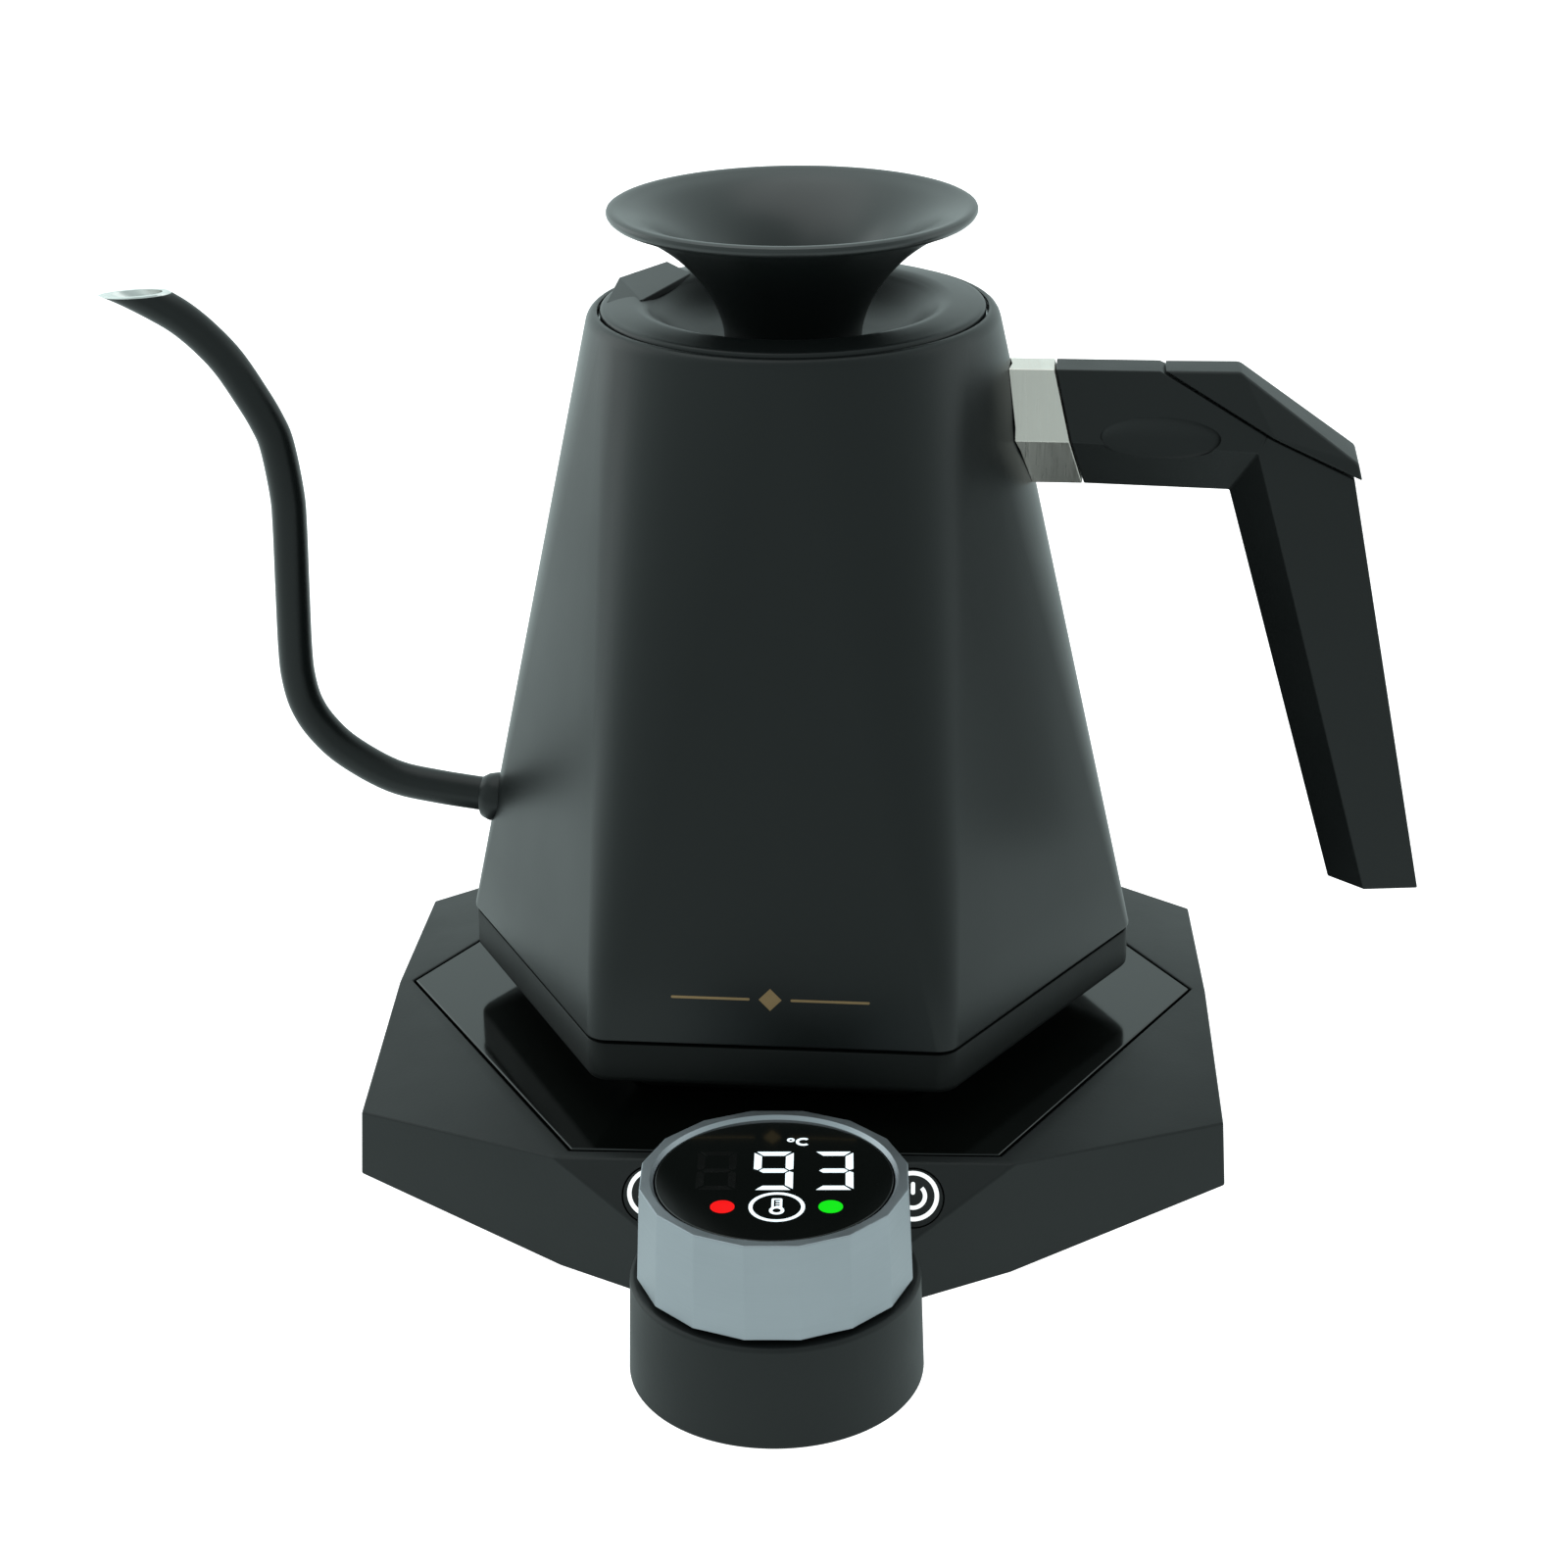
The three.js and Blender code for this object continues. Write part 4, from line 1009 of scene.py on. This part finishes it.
def drawDigit(bm, x, y, lit):
    # seven bars with mitred ends; the side bars are one outline mirrored
    high, wide, bar, gap = (display[k] for k in ("halfHigh", "halfWide", "bar", "gap"))
    half = bar / 2
    inner, inset = wide - bar - gap, wide - gap - 0.2
    across = [(-inset, high), (inset, high), (inner, high - bar), (-inner, high - bar)]
    middle = [(half + gap - wide, 0), (-inner, half), (inner, half), (wide - half - gap, 0),
              (inner, -half), (-inner, -half)]
    upright = [(-wide, high - gap - 0.1), (bar - wide, high - bar - gap), (bar - wide, half + gap),
               (half - wide, gap), (-wide, half)]
    bars = {"a": (across, 1, 1), "d": (across, 1, -1), "g": (middle, 1, 1), "f": (upright, 1, 1),
            "b": (upright, -1, 1), "e": (upright, 1, -1), "c": (upright, -1, -1)}
    for letter in lit:
        outline, mirrorX, mirrorY = bars[letter]
        flatShape(bm, x, y, [(mirrorX * px, mirrorY * py) for px, py in outline])


def flatRing(bm, x, y, inner, outer):
    half = display["lift"] / 2
    spinProfile(bm, ringProfile(inner, outer, -half, half), 64, x=x, y=y)


def flatArc(bm, x, y, inner, outer, sweep, start):
    half = display["lift"] / 2
    old = set(bm.verts)
    corners = ((inner, 0, -half), (outer, 0, -half), (outer, 0, half), (inner, 0, half))
    end = bm.faces.new([bm.verts.new(corner) for corner in corners])
    bmesh.ops.spin(
        bm, geom=[end], cent=(0, 0, 0), axis=(0, 0, 1), angle=math.radians(sweep), steps=40,
    )
    made = [v for v in bm.verts if v not in old]
    where = Matrix.Translation((x, y, 0)) @ turnBy(start, "Z")
    bmesh.ops.transform(bm, matrix=where, verts=made)
    faceOutwards(bm)


displayTurn = turnBy(display["turn"], "Z")
onGlass = Matrix.Translation((0, 0, display["surface"] + display["lift"] / 2))
displayPlace = knobPlace @ onGlass @ displayTurn
for number, (x, y, lit, finish) in enumerate(display["digits"], 1):
    bm = bmesh.new()
    drawDigit(bm, x, y, lit)
    finishPiece(bm, f"digit{number}", displayPlace, "display", finish, [], 30)

# the unit after the digits, and a thermometer in a ring with its levels
signs = bmesh.new()
for ring in display["rings"]:
    flatRing(signs, *ring)
flatArc(signs, *display["unit"])
for x, y, length, turn in display["tube"]:
    flatBar(signs, x, y, length, 0.45, turn)
for level in display["levels"]:
    flatBar(signs, 1.0, level, 1.1, 0.3)
finishPiece(signs, "displaySigns", displayPlace, "display", "litWhite", [], 30)
for name, x, finish in display["lamps"]:
    half = display["lift"] / 2
    lampDisc = newBar(40, display["lampRadius"], -half, half, x=x, y=display["lampY"])
    finishPiece(lampDisc, name, displayPlace, "display", finish, [], 30)
print("knob and display")


# keys on the front facet

for side, word in ((-1, "left"), (1, "right")):
    place = basePlace @ facetPlace(side * keys["x"], keys["y"])
    capMesh = newBar(64, keys["radius"], -keys["thickness"], 0)
    softenEdges(capMesh, keys["edge"], 3, 60)
    capMesh = combine(capMesh, newBar(24, keys["stem"], -keys["thickness"] - 2, -1), "UNION")
    finishPiece(capMesh, f"{word}KeyCap", place, f"{word}_key", "basePlastic", [f"key_{word}"], 40)
    mark = bmesh.new()
    flatRing(mark, 0, 0, *keys["markRing"])
    if side > 0:
        flatArc(mark, 0, 0, 2.05, 2.9, 268, 136)
        flatBar(mark, 0, 1.65, 2.7, 0.85, 90)
    else:
        flatBar(mark, 0, 0.6, 3.4, 0.8, 90)
        flatBar(mark, -1.3, -1.0, 3.4, 0.8)
    markPlace = place @ Matrix.Translation((0, keys["markUp"], display["lift"] / 2))
    finishPiece(mark, f"{word}KeyMark", markPlace, f"{word}_key", "whitePrintGlowing", [], 30)
print("keys")


# plain ornament low on the front of the body

ornament = {
    "height": 55.0, "long": 16.5, "thin": 0.55, "diamond": 3.4, "offset": 12.5, "proud": 0.02,
}
narrowing = sideDistance(*cornerAt(shell["low"])) - sideDistance(*cornerAt(shell["high"]))
lean = math.degrees(math.atan(narrowing / (shell["high"] - shell["low"])))
badge = bmesh.new()
for side in (-1, 1):
    flatBar(badge, side * ornament["offset"], 0, ornament["long"], ornament["thin"])
half = ornament["diamond"] / math.sqrt(2)
flatShape(badge, 0, 0, [(half, 0), (0, half), (-half, 0), (0, -half)])
faceY = -sideDistance(*cornerAt(ornament["height"])) - ornament["proud"]
badgeTurn = turnBy(90 - lean, "X")
badgePlace = kettlePlace @ Matrix.Translation((0, faceY, ornament["height"])) @ badgeTurn
finishPiece(badge, "frontOrnament", badgePlace, "kettle", "bronzePrint", [], 30)
print("ornament")


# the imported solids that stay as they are, with their finishes

plainNodes = {
    "blackPlastic": ["base_cover", "power_relay", "key_switch_left", "key_switch_right",
                     "encoder_body", "display_housing"],
    "footRubber": ["cord_inlet"],
    "contactCopper": ["contact_pin", "transformer"],
    "boardGreen": ["power_board", "key_board", "display_board"],
    "plainSteel": ["encoder_shaft", "knob_spring", "boiler_floor", "heating_element",
                   "temperature_probe", "spout_strainer", "handle_post", "handle_screw",
                   "lid_screw"]
                  + [f"cover_screw_{k}" for k in (1, 2, 3, 4)]
                  + [f"skirt_screw_{k}" for k in (1, 2, 3)],
}
for finish, names in plainNodes.items():
    for name in names:
        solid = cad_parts[name]
        solid.data.materials.clear()
        solid.data.materials.append(materials[finish])
print("plain pieces")


# floor and background, as the inside of a white tent that is darker towards the front

tent = {
    "tint": (0.83, 1.0, 0.99),
    "walls": {
        "Front": 0.6, "Back": 1.05, "From": -0.6, "To": 0.5, "Right": 0.8, "Span": 0.7, "Top": 0.8,
    },
    "floor": {
        "Front": 0.2, "Back": 0.95, "From": -0.9, "To": 0.5, "Right": 0.8, "Span": 0.5, "Top": 1.0,
    },
    "floorSize": 6, "floorGrey": 0.3, "floorSeen": 1.4,
}


def buildTent():
    # brightness from a direction or a place: front to back, left to right, and darker overhead
    sockets = [("Vector", "NodeSocketVector", (0, 0, 0))]
    sockets.append(("Tint", "NodeSocketVector", tent["tint"]))
    sockets += [(title, "NodeSocketFloat", 0.5) for title in tent["walls"]]
    tree, given, result = newGroup("tentLight", sockets, [("Color", "NodeSocketColor")])
    parts = addNode(tree, "ShaderNodeSeparateXYZ")
    depth = addNode(tree, "ShaderNodeMapRange", interpolation_type="SMOOTHSTEP")
    across = addNode(tree, "ShaderNodeMapRange", {"To Min": 1.0}, interpolation_type="SMOOTHSTEP")
    left = addNode(tree, "ShaderNodeMath", {0: 0.0}, operation="SUBTRACT")
    above = addNode(tree, "ShaderNodeMapRange", {"From Min": 0.3, "From Max": 0.95, "To Min": 1.0})
    both = addNode(tree, "ShaderNodeMath", operation="MULTIPLY")
    whole = addNode(tree, "ShaderNodeMath", operation="MULTIPLY")
    tinted = addNode(tree, "ShaderNodeVectorMath", operation="SCALE")
    join(tree, given.outputs["Vector"], parts.inputs["Vector"])
    join(tree, parts.outputs["Y"], depth.inputs["Value"])
    ends = {"From": "From Min", "To": "From Max", "Front": "To Min", "Back": "To Max"}
    for title, socket in ends.items():
        join(tree, given.outputs[title], depth.inputs[socket])
    join(tree, parts.outputs["X"], across.inputs["Value"])
    join(tree, given.outputs["Span"], left.inputs[1])
    join(tree, left.outputs[0], across.inputs["From Min"])
    join(tree, given.outputs["Span"], across.inputs["From Max"])
    join(tree, given.outputs["Right"], across.inputs["To Max"])
    join(tree, parts.outputs["Z"], above.inputs["Value"])
    join(tree, given.outputs["Top"], above.inputs["To Max"])
    join(tree, depth.outputs["Result"], both.inputs[0])
    join(tree, across.outputs["Result"], both.inputs[1])
    join(tree, both.outputs[0], whole.inputs[0])
    join(tree, above.outputs["Result"], whole.inputs[1])
    join(tree, given.outputs["Tint"], tinted.inputs[0])
    join(tree, whole.outputs[0], tinted.inputs["Scale"])
    join(tree, tinted.outputs["Vector"], result.inputs["Color"])
    return tree


def buildFloor():
    bm = bmesh.new()
    bmesh.ops.create_grid(bm, x_segments=1, y_segments=1, size=tent["floorSize"])
    mesh = bpy.data.meshes.new("floor")
    bm.to_mesh(mesh)
    bm.free()
    material = bpy.data.materials.new("paleFloor")
    material.use_nodes = True
    tree = material.node_tree
    shader = tree.nodes["Principled BSDF"]
    shader.inputs["Base Color"].default_value = (*[tent["floorGrey"]] * 3, 1)
    shader.inputs["Roughness"].default_value = 0.9
    shader.inputs["Specular IOR Level"].default_value = 0.1
    shader.inputs["Emission Strength"].default_value = 1.0
    place = addNode(tree, "ShaderNodeTexCoord")
    glow = placeGroup(tree, tentGroup, tent["floor"])
    ray = addNode(tree, "ShaderNodeLightPath")
    pick = addNode(tree, "ShaderNodeMix", data_type="RGBA")
    pick.inputs["B"].default_value = (*[tent["floorSeen"]] * 3, 1)
    join(tree, place.outputs["Object"], glow.inputs["Vector"])
    join(tree, ray.outputs["Is Camera Ray"], pick.inputs["Factor"])
    join(tree, glow.outputs["Color"], pick.inputs["A"])
    join(tree, pick.outputs["Result"], shader.inputs["Emission Color"])
    mesh.materials.append(material)
    floor = bpy.data.objects.new("floor", mesh)
    scene.collection.objects.link(floor)


def buildWorld():
    # plain white behind the object; the tent only lights it and is mirrored in it
    world = bpy.data.worlds.new("studio")
    world.use_nodes = True
    tree = world.node_tree
    tree.nodes.clear()
    seen = addNode(tree, "ShaderNodeBackground", {"Color": (1, 1, 1, 1), "Strength": 1.0})
    around = addNode(tree, "ShaderNodeBackground", {"Strength": 1.0})
    direction = addNode(tree, "ShaderNodeTexCoord")
    walls = placeGroup(tree, tentGroup, tent["walls"])
    ray = addNode(tree, "ShaderNodeLightPath")
    choose = addNode(tree, "ShaderNodeMixShader")
    out = addNode(tree, "ShaderNodeOutputWorld")
    join(tree, direction.outputs["Generated"], walls.inputs["Vector"])
    join(tree, walls.outputs["Color"], around.inputs["Color"])
    join(tree, ray.outputs["Is Camera Ray"], choose.inputs["Fac"])
    join(tree, around.outputs["Background"], choose.inputs[1])
    join(tree, seen.outputs["Background"], choose.inputs[2])
    join(tree, choose.outputs["Shader"], out.inputs["Surface"])
    scene.world = world


tentGroup = buildTent()
buildFloor()
buildWorld()
scene.view_settings.view_transform = "Standard"
print("floor and background")
